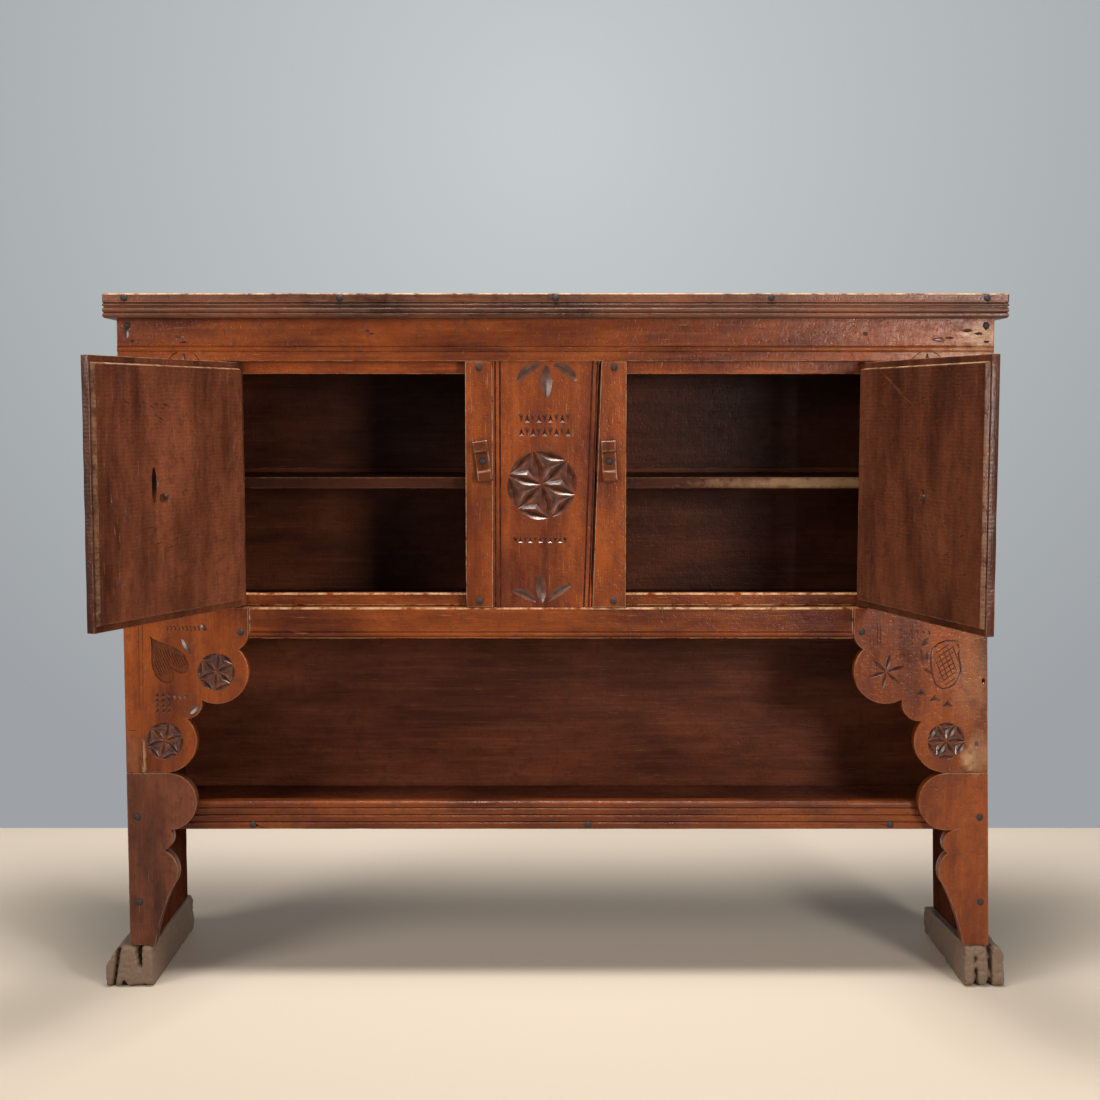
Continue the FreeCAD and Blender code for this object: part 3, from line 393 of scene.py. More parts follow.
def closed(bm, name, materials):
    """Turns a finished edit mesh into a mesh with its materials."""
    mesh = bpy.data.meshes.new(name)
    bm.to_mesh(mesh)
    bm.free()
    for material in materials:
        mesh.materials.append(material)
    return mesh


def applied(piece):
    """The mesh that a piece's modifiers make, and that mesh opened for editing; the modifiers go."""
    graph = bpy.context.evaluated_depsgraph_get()
    mesh = bpy.data.meshes.new_from_object(piece.evaluated_get(graph))
    piece.modifiers.clear()
    bm = bmesh.new()
    bm.from_mesh(mesh)
    return mesh, bm


def settle(bm, name, body, nodes, slot, materials, tone=1.0):
    """Makes a finished mesh a piece that rides on a body and stands for its CAD nodes. The count of
    pieces so far gives each board its own stretch of every pattern."""
    seeds = bm.faces.layers.float.new("board")
    tones = bm.faces.layers.float.new("tone")
    for face in bm.faces:
        face[seeds] = settle.count * 1.7
        face[tones] = tone
    settle.count += 1
    crisp(bm)
    piece = placed(name, closed(bm, name, [bpy.data.materials[m] for m in materials]))
    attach(piece, body)
    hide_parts(*nodes)
    return piece


settle.count = 0


def worn_board(context, node, seed, axis, arris, sharp, rub, slot, materials, tone=1.0, body="carcass"):
    """Wears the board of a CAD node, whose grain runs along an axis, and makes it a piece."""
    bm = board_mesh(node)
    wear(bm, arris, axis, context.scene.cupboard_wear, seed, sharp, rub)
    return settle(bm, f"worn_{node}", body, [node], slot, materials, tone)


def point(x, z):
    """A point x mm across and z mm over the floor."""
    return Vector((x, z)) * MM


def v_cut(bm, path, widths, slope, face):
    """A cut of V section along a path of (x, z) points, as wide at each as widths says."""
    last = len(path) - 1
    made = bmesh.ops.create_grid(bm, x_segments=last, y_segments=2, size=0.5)["verts"]
    for v in made:
        i = round((v.co.x + 0.5) * last)
        side = round(v.co.y * 2)
        a, b = Vector(path[max(0, i - 1)]), Vector(path[min(last, i + 1)])
        run = (b - a).normalized()
        spread = side * (widths[i] + LIFT / slope)
        tip = side or i in (0, last)
        v.co = (path[i][0] - run.y * spread, face - LIFT if tip else face + widths[i] * slope,
                path[i][1] + run.x * spread)
    rim = dict.fromkeys(e for v in made for e in v.link_edges if e.is_boundary)
    bmesh.ops.edgeloop_fill(bm, edges=list(rim))


def chip(bm, tip, end, swell, slope, face, bow=0.0):
    """A lens-shaped chip from tip to end, bowed to one side if asked."""
    count = 10
    tip, end = Vector(tip), Vector(end)
    run = end - tip
    across = Vector((-run.y, run.x)).normalized()
    shares = [i / count for i in range(count + 1)]
    path = [tip + run * s + across * (bow * 4 * s * (1 - s)) for s in shares]
    v_cut(bm, path, [swell * 4 * s * (1 - s) for s in shares], slope, face)


def line(bm, path, width, face, slope=1.0):
    """A thin scribed line with tapered ends."""
    last = len(path) - 1
    v_cut(bm, path, [width * (0.35 if i in (0, last) else 1.0) for i in range(last + 1)], slope, face)


def pocket(bm, outline, deep, face, middle=None):
    """A pocket whose sides fall from its outline to one deepest point."""
    made = bmesh.ops.create_circle(bm, cap_ends=True, cap_tris=True, segments=len(outline), radius=1.0)
    middle = Vector(middle or sum((Vector(p) for p in outline), Vector((0, 0))) / len(outline))
    count = len(outline)
    around = []
    for v in made["verts"]:
        if v.co.length < 0.5:
            v.co = (middle.x, face + deep, middle.y)
            continue
        turn = math.atan2(v.co.y, v.co.x) / (2 * math.pi) * count
        place = Vector(outline[round(turn) % count])
        place += (place - middle) * (LIFT / deep)
        v.co = (place.x, face - LIFT, place.y)
        around.append(v)
    rim = dict.fromkeys(e for v in around for e in v.link_edges if e.is_boundary)
    bmesh.ops.edgeloop_fill(bm, edges=list(rim))


def sunk_ground(bm, outline, deep, face):
    """A flat-bottomed recess inside an outline."""
    made = bmesh.ops.create_circle(bm, cap_ends=True, segments=len(outline), radius=1.0)["verts"]
    count = len(outline)
    for v in made:
        turn = math.atan2(v.co.y, v.co.x) / (2 * math.pi) * count
        x, z = outline[round(turn) % count]
        v.co = (x, face + deep, z)
    raised = bmesh.ops.extrude_face_region(bm, geom=list(made[0].link_faces))["geom"]
    top = [g for g in raised if isinstance(g, bmesh.types.BMVert)]
    bmesh.ops.translate(bm, verts=top, vec=(0, -deep - LIFT, 0))


def carve(piece, cuts, front=FORWARD):
    """Takes a set of cuts out of a piece; the cut faces get the piece's second material, except that flat
    sunk grounds keep its first, a little darker as painted shade in the recesses."""
    bmesh.ops.recalc_face_normals(cuts, faces=cuts.faces)
    tones = cuts.faces.layers.float.new("tone")
    for face in cuts.faces:
        face.material_index = int(abs(face.normal.dot(front)) < 0.99)
        face[tones] = SUNK_SHADE_TONE
    knife = placed("knife", closed(cuts, "cuts", piece.data.materials))
    modifier = piece.modifiers.new("carving", "BOOLEAN")
    modifier.operation = "DIFFERENCE"
    modifier.solver = "EXACT"
    modifier.use_self = True
    modifier.object = knife
    carved, bm = applied(piece)
    crisp(bm, front)
    bm.to_mesh(carved)
    bm.free()
    piece.data = carved
    bpy.data.objects.remove(knife)
    if not carved.polygons:
        raise RuntimeError(f"the carving of {piece.name} left nothing")


def mark_cuts(bm, face):
    """Gives the chips that the CAD mesh already has the second material."""
    for f in bm.faces:
        middle = f.calc_center_median()
        if -0.97 < f.normal.y < -0.3 and middle.y < face + 9 * MM:
            f.material_index = 1


def spots(bm, centre, radius, turn, face):
    """The three-cornered pockets between the petals and the rim of a compass rosette."""
    swell = radius * (1 - math.cos(math.pi / 6))
    for k in range(6):
        a, b = (math.radians(turn + 60 * (k + j)) for j in (0, 1))
        corners = [Vector((0, 0)), Vector((math.sin(a), math.cos(a))), Vector((math.sin(b), math.cos(b)))]
        corners = [Vector(centre) + c * radius * 0.96 for c in corners]
        middle = sum(corners, Vector((0, 0))) / 3
        outline = []
        for p, q in zip(corners, corners[1:] + corners[:1]):
            for i in range(5):
                s = 0.1 + 0.2 * i
                place = p + (q - p) * s
                place += (middle - place).normalized() * (swell * 4 * s * (1 - s) + 0.7 * MM)
                outline.append(place)
        pocket(bm, ring(outline), radius * 0.09, face, middle)


def stile_place(side, u, z):
    """A point of a carved stile, u mm in from its outer edge and z mm over the leg board."""
    return Vector((side * (HALF - u * MM), JOINT + z * MM))


def heart(side, centre, half_width, rise, tilt):
    """The outline of a tilted heart on a stile."""
    points = []
    for i in range(28):
        t = 2 * math.pi * i / 28
        x = half_width * math.sin(t) ** 3
        z = rise * (13 * math.cos(t) - 5 * math.cos(2 * t) - 2 * math.cos(3 * t) - math.cos(4 * t)) / 17
        points.append(stile_place(side, centre[0] + x * math.cos(tilt) - z * math.sin(tilt),
                                  centre[1] + x * math.sin(tilt) + z * math.cos(tilt)))
    return points


def hatch(outline, angle, spacing, inset):
    """Parallel strokes that fill an outline, as pairs of ends."""
    way = Vector((math.cos(angle), math.sin(angle)))
    across = Vector((-way.y, way.x))
    heights = [p.dot(across) for p in outline]
    strokes = []
    for k in range(1, int((max(heights) - min(heights)) / spacing)):
        level = min(heights) + k * spacing
        hits = []
        for p, q in zip(outline, outline[1:] + outline[:1]):
            a, b = p.dot(across) - level, q.dot(across) - level
            if a * b < 0:
                hits.append((p + (q - p) * (a / (a - b))).dot(way))
        hits.sort()
        for start, end in zip(hits[::2], hits[1::2]):
            if end - start > 3 * inset:
                strokes.append([way * s + across * level for s in (start + inset, end - inset)])
    return strokes


def ring(points):
    """Turns an outline so that it starts nearest to its right and runs against the clock."""
    middle = sum(points, Vector((0, 0))) / len(points)
    area = sum((p - middle).cross(q - middle) for p, q in zip(points, points[1:] + points[:1]))
    if area < 0:
        points = points[::-1]
    start = min(range(len(points)),
                key=lambda i: abs(math.atan2(points[i].y - middle.y, points[i].x - middle.x)))
    return points[start:] + points[:start]


def triangle(bm, centre, width, rise, face, deep):
    """A small three-cornered chip standing on its base, or on its point if rise is negative."""
    x, z = centre
    corners = [Vector((x - width / 2, z - rise / 2)), Vector((x + width / 2, z - rise / 2)),
               Vector((x, z + rise / 2))]
    pocket(bm, ring(corners), deep, face)


def straight(a, b, count=2):
    """Points evenly along a straight line."""
    a, b = Vector(a), Vector(b)
    return [a + (b - a) * i / count for i in range(count + 1)]


def oval(centre, width, rise, count=12):
    """Points round an oval, from its right against the clock."""
    return [Vector((centre[0] + width / 2 * math.cos(2 * math.pi * i / count),
                    centre[1] + rise / 2 * math.sin(2 * math.pi * i / count))) for i in range(count)]


def upper_rosette(bm, side):
    """The compass rosette under the frieze, half hidden by an open door."""
    centre = stile_place(side, 109, 672)
    radius = 28 * MM
    circle = oval(centre, 2 * radius, 2 * radius, 24)
    line(bm, circle + circle[:1], 0.8 * MM, FRONT)
    for k in range(6):
        a = math.radians(60 * k)
        way = Vector((math.sin(a), math.cos(a)))
        chip(bm, centre + way * radius * 0.1, centre + way * radius * 0.9, 3.2 * MM, 0.7, FRONT)


def left_ornaments():
    """Heart, leaf, rosettes and rows of chips on the left stile, as sets of cuts."""
    def at(u, z):
        return stile_place(-1, u, z)
    first, second = bmesh.new(), bmesh.new()
    outline = heart(-1, (71, 190), 30, 50, math.radians(-146))
    sunk_ground(first, ring(outline), 2.0 * MM, FRONT)
    for stroke in hatch(outline, math.radians(112), 4.0 * MM, 2.5 * MM):
        line(second, straight(*stroke, 4), 0.7 * MM, FRONT + 2.0 * MM, 1.4)
    chip(first, at(95.8, 231), at(112, 198), 4.8 * MM, 0.5, FRONT)
    spots(first, at(153, 170.5), 33 * MM, 8, FRONT)
    spots(first, at(65, 54), 33 * MM, 13, FRONT)
    for row in range(4):
        for column in range(3):
            triangle(first, at(54.5 + 9.4 * column, 133 - 9 * row), 9.2 * MM, 8.6 * MM, FRONT, 2.6 * MM)
    for column in range(3):
        triangle(first, at(84 + 9 * column, 127), 8 * MM, -8 * MM, FRONT, 1.8 * MM)
    for k in range(9):
        chip(first, at(71 + 6.6 * k, 248), at(74 + 6.6 * k, 239), 2.0 * MM, 0.8, FRONT)
    chip(first, at(128.5, 252), at(139.5, 238), 3.8 * MM, 0.6, FRONT)
    chip(first, at(105, 98), at(125, 118), 5.4 * MM, 0.4, FRONT)
    for u in (26, 32.5):
        line(first, straight(at(u - 2, 76), at(u + 3, 640), 14), 0.5 * MM, FRONT)
    line(first, straight(at(-2, 73), at(26, 71), 3), 0.9 * MM, FRONT)
    line(first, straight(at(26.5, 71), at(29, -3), 4), 0.9 * MM, FRONT)
    upper_rosette(second, -1)
    return first, second


def right_ornaments():
    """Hatched fruit, scrolls, rosettes, chips and pits on the right stile, as sets of cuts."""
    def at(u, z):
        return stile_place(1, u, z)
    first, second, third = bmesh.new(), bmesh.new(), bmesh.new()
    fruit = [at(*p) for p in (
        (41, 218), (54, 222.5), (69, 222.5), (82, 217.5), (91, 208), (93.5, 193), (92.5, 178), (89, 162),
        (85, 150), (73, 142), (62, 144), (53, 151), (46, 161.5), (43, 173), (44.5, 184), (48, 201))]
    line(first, fruit + fruit[:1], 1.6 * MM, FRONT, 0.7)
    for stroke in hatch(fruit, math.radians(35), 7.6 * MM, 1.2 * MM):
        line(second, straight(*stroke, 4), 0.9 * MM, FRONT, 0.8)
    for stroke in hatch(fruit, math.radians(112), 8.6 * MM, 1.2 * MM):
        line(third, straight(*stroke, 4), 0.9 * MM, FRONT, 0.8)
    for tip, end, swell, slope, bow in (
            ((96, 228), (110, 213), 4.6, 0.5, 0), ((111, 211), (106.5, 179), 5.4, 0.5, 3),
            ((106, 178), (88, 165), 3.0, 0.7, 0), ((100, 206), (98, 184), 3.2, 0.7, 0)):
        chip(first, at(*tip), at(*end), swell * MM, slope, FRONT, bow * MM)
    for u, z in ((108, 137), (85.5, 127.5), (64, 118)):
        triangle(first, at(u, z), 19 * MM, 12 * MM, FRONT, 3.7 * MM)
    spots(first, at(65, 54), 33 * MM, 29, FRONT)
    chip(first, at(146, 245), at(139, 236), 3.0 * MM, 0.6, FRONT)
    for k in range(4):
        chip(first, at(128 - 9.8 * k, 242 - k), at(124.5 - 9.8 * k, 236.5 - k), 1.6 * MM, 0.8, FRONT)
    pocket(first, oval(at(14.6, 48.5), 7 * MM, 12 * MM), 1.2 * MM, FRONT)
    pocket(first, oval(at(5.5, 155), 6 * MM, 10 * MM), 5 * MM, FRONT)
    for u in (177, 182):
        line(first, straight(at(u, 200), at(u + 1.5, 262), 4), 0.6 * MM, FRONT)
    upper_rosette(second, 1)
    return first, second, third


def panel_ornaments():
    """Leaves, rosette pockets and chip rows on the centre panel, as one set of cuts."""
    cuts = bmesh.new()
    for tip, end, swell, bow in (
            ((-15, 1045), (-14.5, 985), 9.4, 0), ((-22, 1043), (-64, 1012.5), 7.8, -6.5),
            ((-6, 1043), (35, 1014), 7.8, 6.5), ((-25.5, 702), (-22, 649), 8.8, 0),
            ((-30, 650), (-75, 671), 7.2, -5.0), ((-14, 650), (28.5, 680), 7.2, 5.0)):
        chip(cuts, point(*tip), point(*end), swell * MM, 0.55, PANEL_FACE, bow * MM)
    spots(cuts, point(-22, 846), 60 * MM, -14, PANEL_FACE)
    for k in range(11):
        rise = (9 if k % 2 else -9) * MM
        triangle(cuts, point(-66 + 8.2 * k, 755), 8 * MM, rise, PANEL_FACE, 2.4 * MM)
    for row in range(2):
        for k in range(9):
            rise = (14 if (k + row) % 2 else -14) * MM
            triangle(cuts, point(-56 + 9.6 * k, 955 - 22 * row), 9 * MM, rise, PANEL_FACE, 2.6 * MM)
    # The panel has shrunk away from the right stile
    v_cut(cuts, straight(point(74, 1050), point(60, 641), 8), [3.0 * MM] * 9, 4.0, PANEL_FACE)
    return cuts


def frieze_marks():
    """The tops of the two upper rosettes, scribed lines and worn pits on the frieze, as one set of cuts."""
    cuts = bmesh.new()
    for side in (-1, 1):
        upper_rosette(cuts, side)
    for x in (-94, 66):
        line(cuts, straight(point(x, 1047), point(x + 0.5, 1064), 2), 0.5 * MM, FRONT)
    # Pits where knots and nails have torn out: place, width and height
    for x, z, width, rise in (
            (625, 1083, 22, 7), (643, 1086, 14, 4), (671, 1098, 20, 6), (691, 1093, 15, 5),
            (702, 1105, 9, 13), (704, 1080, 10, 4), (-701, 1094, 12, 16), (-690, 1081, 10, 5),
            (-614, 1088, 14, 5), (-606, 1079, 16, 3), (-308, 1099, 13, 6), (-300, 1093, 9, 3),
            (506, 1093, 9, 7)):
        outline = [p + noise.noise_vector(Vector((p.x, p.y, 0)) * 300).xy * rise * 0.3 * MM
                   for p in oval(point(x, z), width * MM, rise * MM)]
        pocket(cuts, outline, 2.2 * MM, FRONT)
    return cuts


class CUPBOARD_OT_finishes(bpy.types.Operator):
    """Makes the wood and iron finishes"""

    bl_idname = "cupboard.finishes"
    bl_label = "Finishes"

    def execute(self, context):
        f = context.scene.cupboard_finish
        wax = (f.wax_deep, f.wax_mid, f.wax_light, f.bare)
        smoke = (f.smoke_deep, f.smoke_mid, f.smoke_light, f.bare)
        door = (f.door_deep, f.door_mid, f.door_light, f.bare)
        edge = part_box("middle_shelf")[0]
        old_board("waxed_level", "X", *wax, 0.3, 0.28, 0.15, 0.05, (
            ((HALF - 22 * MM, FRONT, 1088 * MM), (44 * MM, 0.03, 26 * MM), 0.5),
            ((HALF - 60 * MM, FRONT, 1060 * MM), (90 * MM, 0.03, 12 * MM), 0.25)))
        old_board("waxed_upright", "Z", *wax, 0.3, 0.3, 0.1, 0.05, (
            ((HALF - 28 * MM, FRONT, JOINT + 25 * MM), (14 * MM, 0.02, 20 * MM), 0.55),
            ((HALF - 10 * MM, FRONT, JOINT + 34 * MM), (24 * MM, 0.02, 40 * MM), 0.28),
            ((HALF - 24 * MM, FRONT, JOINT + 160 * MM), (44 * MM, 0.02, 90 * MM), 0.14),
            ((-HALF + 12 * MM, FRONT, JOINT + 36 * MM), (16 * MM, 0.02, 40 * MM), 0.1),
            ((-HALF + 30 * MM, FRONT, JOINT + 25 * MM), (4 * MM, 0.02, 35 * MM), 0.5)))
        old_board("dull_level", "X", *door, 0.32, 0.3, 0.2, 0.05)
        old_board("dull_return", "Y", *door, 0.32, 0.3, 0.2, 0.05)
        old_board("smoked_level", "X", *smoke, 0.36, 0.12, 0.15, 0.05, (
            ((0.43, edge.y, edge.z + 9 * MM), (0.2, 0.008, 0.011), 0.3),))
        old_board("smoked_upright", "Z", *smoke, 0.6, 0.0, 0.15, 0.05)
        old_board("door_upright", "Z", *door, 0.32, 0.25, 0.07, 0.16)
        carved_cut("carved_cut", f.cut, f.wax_mid)
        weathered_block("weathered_foot", f.foot)
        hammered_iron("forged_iron", f.iron)
        return {"FINISHED"}


class CUPBOARD_OT_front_rails(bpy.types.Operator):
    """Wears the frieze, the bottom rail and the door stops"""

    bl_idname = "cupboard.front_rails"
    bl_label = "Front rails"

    def execute(self, context):
        arris = context.scene.cupboard_wear.arris
        # The bottom rail and the lower door stop rub their rounded edges pale: on the rail partly wear and
        # partly a painted highlight, on the stop a painted highlight of its top arris from the light above.
        # The raised tones of the frieze and the upper door stop partly stand for light from the upper left:
        # painted light
        for k, (node, tone, share, rub) in enumerate((
                ("frieze_rail", 1.12, 0.8, 0.6), ("bottom_rail", 0.92, 1.4, 1.5),
                ("upper_door_stop", 1.75, 0.8, 0.6), ("lower_door_stop", 1.0, 1.4, 1.6))):
            piece = worn_board(context, node, k, 0, arris * share, 50.0, rub, "front_wood",
                               ["waxed_level", "carved_cut"], tone)
            if node == "frieze_rail":
                carve(piece, frieze_marks())
        return {"FINISHED"}


class CUPBOARD_OT_carved_sides(bpy.types.Operator):
    """Wears and carves the two scalloped stiles and the leg boards under them"""

    bl_idname = "cupboard.carved_sides"
    bl_label = "Carved sides"

    def execute(self, context):
        wear_set = context.scene.cupboard_wear
        for k, name in enumerate(("left", "right")):
            worn_board(context, f"{name}_leg_board", 10 + k, 2, wear_set.arris * 0.8, 50.0, 0.35,
                       "front_wood", [("door_upright", "waxed_upright")[k]], (1.25, 0.97)[k])
            node = f"{name}_carved_stile"
            bm = board_mesh(node)
            mark_cuts(bm, FRONT)
            wear(bm, wear_set.arris * 0.8, 2, wear_set, 12 + k, 65.0, 0.4)
            piece = settle(bm, f"worn_{node}", "carcass", [node], "front_wood",
                           ["waxed_upright", "carved_cut"], (1.1, 1.0)[k])
            for cuts in (left_ornaments, right_ornaments)[k]():
                carve(piece, cuts)
        return {"FINISHED"}


class CUPBOARD_OT_centre_post(bpy.types.Operator):
    """Wears the centre stiles and carves the panel between them"""

    bl_idname = "cupboard.centre_post"
    bl_label = "Centre post"

    def execute(self, context):
        arris = context.scene.cupboard_wear.fine_arris * 1.4
        for k, name in enumerate(("left", "right")):
            worn_board(context, f"{name}_centre_stile", 20 + k, 2, arris, 50.0, 0.9, "front_wood",
                       ["waxed_upright"])
        bm = board_mesh("centre_panel")
        mark_cuts(bm, PANEL_FACE)
        piece = settle(bm, "worn_centre_panel", "carcass", ["centre_panel"], "front_wood",
                       ["waxed_upright", "carved_cut"], 1.12)
        carve(piece, panel_ornaments())
        return {"FINISHED"}


class CUPBOARD_OT_top(bpy.types.Operator):
    """Wears the top board and its reeded mouldings"""

    bl_idname = "cupboard.top"
    bl_label = "Top"

    def execute(self, context):
        wear_set = context.scene.cupboard_wear
        for k, (node, axis, material, outer) in enumerate((
                ("top_board", 0, "dull_level", (0, 0, 0)),
                ("top_front_moulding", 0, "dull_level", (0, -1, 0)),
                ("top_left_moulding", 1, "dull_return", (-1, 0, 0)),
                ("top_right_moulding", 1, "dull_return", (1, 0, 0)))):
            bm = board_mesh(node)
            wear(bm, wear_set.arris, axis, wear_set, 30 + k, 70.0, 0.1)
            # The outer upper arris is made pale: partly wear from hands and cloths, partly a painted
            # highlight from the light above. All other faces get a little pale wood as painted sheen
            worn = bm.faces.layers.float["worn"]
            rim = max(v.co.z for v in bm.verts) - wear_set.arris * 1.1
            for face in bm.faces:
                rubbed = face.calc_center_median().z > rim and face.normal.dot(outer) > 0.1
                face[worn] = 1.9 if rubbed else max(face[worn], 0.08)
            settle(bm, f"worn_{node}", "carcass", [node], "front_wood", [material], 1.1)
        return {"FINISHED"}


class CUPBOARD_OT_inside(bpy.types.Operator):
    """Wears the gables, shelves, floor and back boards"""

    bl_idname = "cupboard.inside"
    bl_label = "Inside boards"

    def execute(self, context):
        arris = context.scene.cupboard_wear.fine_arris
        boards = [(n, 0, "smoked_level", tone) for n, tone in (
            ("cupboard_floor", 1.0), ("middle_shelf", 0.55), ("lower_shelf", 2.3),
            ("lower_back_board", 1.8), ("middle_back_board", 1.5), ("upper_back_board", 0.95))]
        boards += [(f"{n}_gable", 2, "smoked_upright", 1.3) for n in ("left", "right")]
        for k, (node, axis, material, tone) in enumerate(boards):
            worn_board(context, node, 40 + k, axis, arris, 70.0, 0.3, "inner_wood", [material], tone)
        worn_board(context, "lower_shelf_lip", 50, 0, arris, 70.0, 0.3, "front_wood", ["waxed_level"], 0.76)
        return {"FINISHED"}


# Door marks are set out on a flat face at this depth and then turned onto the door
DOOR_FACE = 0.0


def strokes(cuts, seed, patches):
    """Short strokes scattered over patches of a door: how many, two corners, their run and their width."""
    for patch, (count, low, high, run, width) in enumerate(patches, seed):
        for k in range(count):
            share = noise.cell_vector(Vector((k + 0.5, patch + 0.5, 0.5)))
            start = Vector([low[i] + (high[i] - low[i]) * share[i] for i in range(2)])
            size = 0.5 + share[2]
            chip(cuts, start * MM, (start + Vector(run) * size) * MM, width * size * MM, 0.5, DOOR_FACE,
                 (share[0] - 0.5) * 1.5 * MM)


def left_door_marks():
    """Gouge, dents and scratches inside the left door, mm from its hinge and over the floor."""
    first, second = bmesh.new(), bmesh.new()
    sunk_ground(first, oval(point(238, 855), 12 * MM, 56 * MM), 6.0 * MM, DOOR_FACE)
    pocket(first, oval(point(217, 834.5), 17 * MM, 15 * MM), 2.4 * MM, DOOR_FACE)
    chip(second, point(228, 868), point(231, 846), 3.0 * MM, 0.5, DOOR_FACE)
    strokes(second, 1, (
        (16, (185, 945), (300, 992), (12, 5), 1.2), (12, (60, 900), (190, 1010), (4, 9), 0.9),
        (14, (12, 720), (36, 1010), (3, 20), 1.3), (10, (140, 755), (235, 795), (26, -5), 0.7),
        (10, (300, 690), (345, 860), (2, 12), 1.0)))
    return first, second


def right_door_marks():
    """Saw ripples, dents and scratches inside the right door, mm from its hinge and over the floor."""
    first, second = bmesh.new(), bmesh.new()
    pocket(first, oval(point(213.4, 842.5), 15 * MM, 14 * MM), 2.0 * MM, DOOR_FACE)
    for k in range(9):
        start = point(70 + 7 * k, 1030 - 4 * k)
        chip(second, start, start + point(60, -26), 1.3 * MM, 0.35, DOOR_FACE, 2 * MM)
    strokes(second, 6, (
        (12, (190, 900), (340, 1005), (10, 4), 1.0), (10, (20, 690), (60, 980), (3, 16), 1.1),
        (8, (230, 700), (330, 800), (14, 3), 0.9)))
    return first, second


class CUPBOARD_OT_doors(bpy.types.Operator):
    """Wears the two doors and marks their inner faces"""

    bl_idname = "cupboard.doors"
    bl_label = "Doors"

    def execute(self, context):
        wear_set = context.scene.cupboard_wear
        field_stray, step_depth = 0.7 * MM, 8 * MM
        for k, name in enumerate(("left", "right")):
            node = f"{name}_door_panel"
            bm = board_mesh(node)
            field = max((f for f in bm.faces if f.normal.y < -0.2), key=lambda f: f.calc_area())
            inner = field.normal.copy()
            face = field.verts[0].co.dot(inner)
            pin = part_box(f"{name}_door_upper_pin")
            hinge = (pin[0] + pin[1]) / 2
            hinge -= inner * (hinge.dot(inner) - face)
            out = Vector((0, 0, 1)).cross(inner) * (1 if k else -1)
            wear(bm, wear_set.fine_arris, 2, wear_set, 60 + k, 70.0)
            # The raised field is planed flat again. The step round it is made pale as painted light: a
            # painted sheen on its free side, stronger on the left door, and a painted highlight where it
            # faces up
            for v in bm.verts:
                off = v.co.dot(inner) - face
                if abs(off) < field_stray:
                    v.co -= inner * off
            worn = bm.faces.layers.float["worn"]
            for f in bm.faces:
                on_step = (0.1 < f.normal.dot(inner) < 0.9
                           and f.calc_center_median().dot(inner) > face - step_depth)
                f[worn] *= 0.3
                if on_step and f.normal.dot(out) > 0.3:
                    f[worn] = (0.45, 0.3)[k]
                elif on_step and f.normal.z > 0.3:
                    f[worn] = 0.9
            # The left door's higher tone and the right door's lower one are painted light: the left door
            # faces the stronger lamp
            piece = settle(bm, f"worn_{node}", f"{name}_door", [node], "door_wood",
                           ["door_upright", "carved_cut"], (1.26, 0.93)[k])
            for cuts in (left_door_marks, right_door_marks)[k]():
                turn = Matrix((out, -inner, (0, 0, 1))).transposed().to_4x4()
                turn.translation = (hinge.x, hinge.y, 0)
                bmesh.ops.transform(cuts, matrix=turn, verts=cuts.verts)
                carve(piece, cuts, inner)
        return {"FINISHED"}


def split(bm, front, low, high, deep):
    """A crack running back from the front of a foot; low and high are (x, width, z) of its ends."""
    made = bmesh.ops.create_cube(bm, size=1.0)["verts"]
    for v in made:
        x, width, z = low if v.co.z < 0 else high
        back = v.co.y > 0
        v.co = (x + v.co.x * width * (0.3 if back else 2.0), front + (deep if back else -5 * MM), z)


def weather(piece, grain, seed):
    """Rounds a block as damp and kicks do: even small faces, softened corners, furrows along Y."""
    modifier = piece.modifiers.new("even_faces", "REMESH")
    modifier.mode = "VOXEL"
    modifier.voxel_size = grain
    worn, bm = applied(piece)
    for _ in range(7):
        bmesh.ops.smooth_vert(bm, verts=bm.verts, factor=0.5, use_axis_x=True, use_axis_y=True,
                              use_axis_z=True)
    bm.normal_update()
    for v in bm.verts:
        across = Vector((v.co.x * 190 + seed, v.co.y * 14, v.co.z * 190))
        furrow = max(0.0, noise.fractal(across, 1.0, 2.0, 3)) * 2.2 * MM
        hollow = max(0.0, noise.noise(v.co * 26 + Vector((seed, 0, 0)))) * 4.0 * MM
        v.co -= v.normal * (furrow + hollow)
        v.co.z = max(v.co.z, 0.0)
    bm.to_mesh(worn)
    bm.free()
    for face in worn.polygons:
        face.use_smooth = True
    piece.data = worn


class CUPBOARD_OT_feet(bpy.types.Operator):
    """Splits and weathers the sled feet"""

    bl_idname = "cupboard.feet"
    bl_label = "Feet"

    def execute(self, context):
        # Each crack: how far in from the outer side, how wide and how high its lower and upper ends are
        cracks = {
            "left": (((12, 3, -4), (24, 4, 76)), ((58, 2, 28), (54, 8, 76)), ((31, 9, -5), (30, 2, 14))),
            "right": (((24, 8, -5), (24, 3, 20)), ((47, 7, -5), (47, 3, 18)), ((24, 3, 18), (27, 4, 62)),
                      ((27, 4, 60), (28, 10, 76)), ((47, 3, 16), (51, 2, 66)))}
        crack_depth = 38 * MM
        for side, name in ((-1, "left"), (1, "right")):
            node = f"{name}_foot"
            low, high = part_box(node)
            outer = high.x if side > 0 else low.x
            bm = board_mesh(node)
            piece = settle(bm, f"weathered_{node}", "carcass", [node], "weathered_foot",
                           ["weathered_foot"] * 2)
            for ends in cracks[name]:
                cuts = bmesh.new()
                lower, upper = ((outer - side * u * MM, w * MM, z * MM) for u, w, z in ends)
                split(cuts, low.y, lower, upper, crack_depth)
                carve(piece, cuts)
            weather(piece, grain=1.9 * MM, seed=3.0 * side)
        return {"FINISHED"}


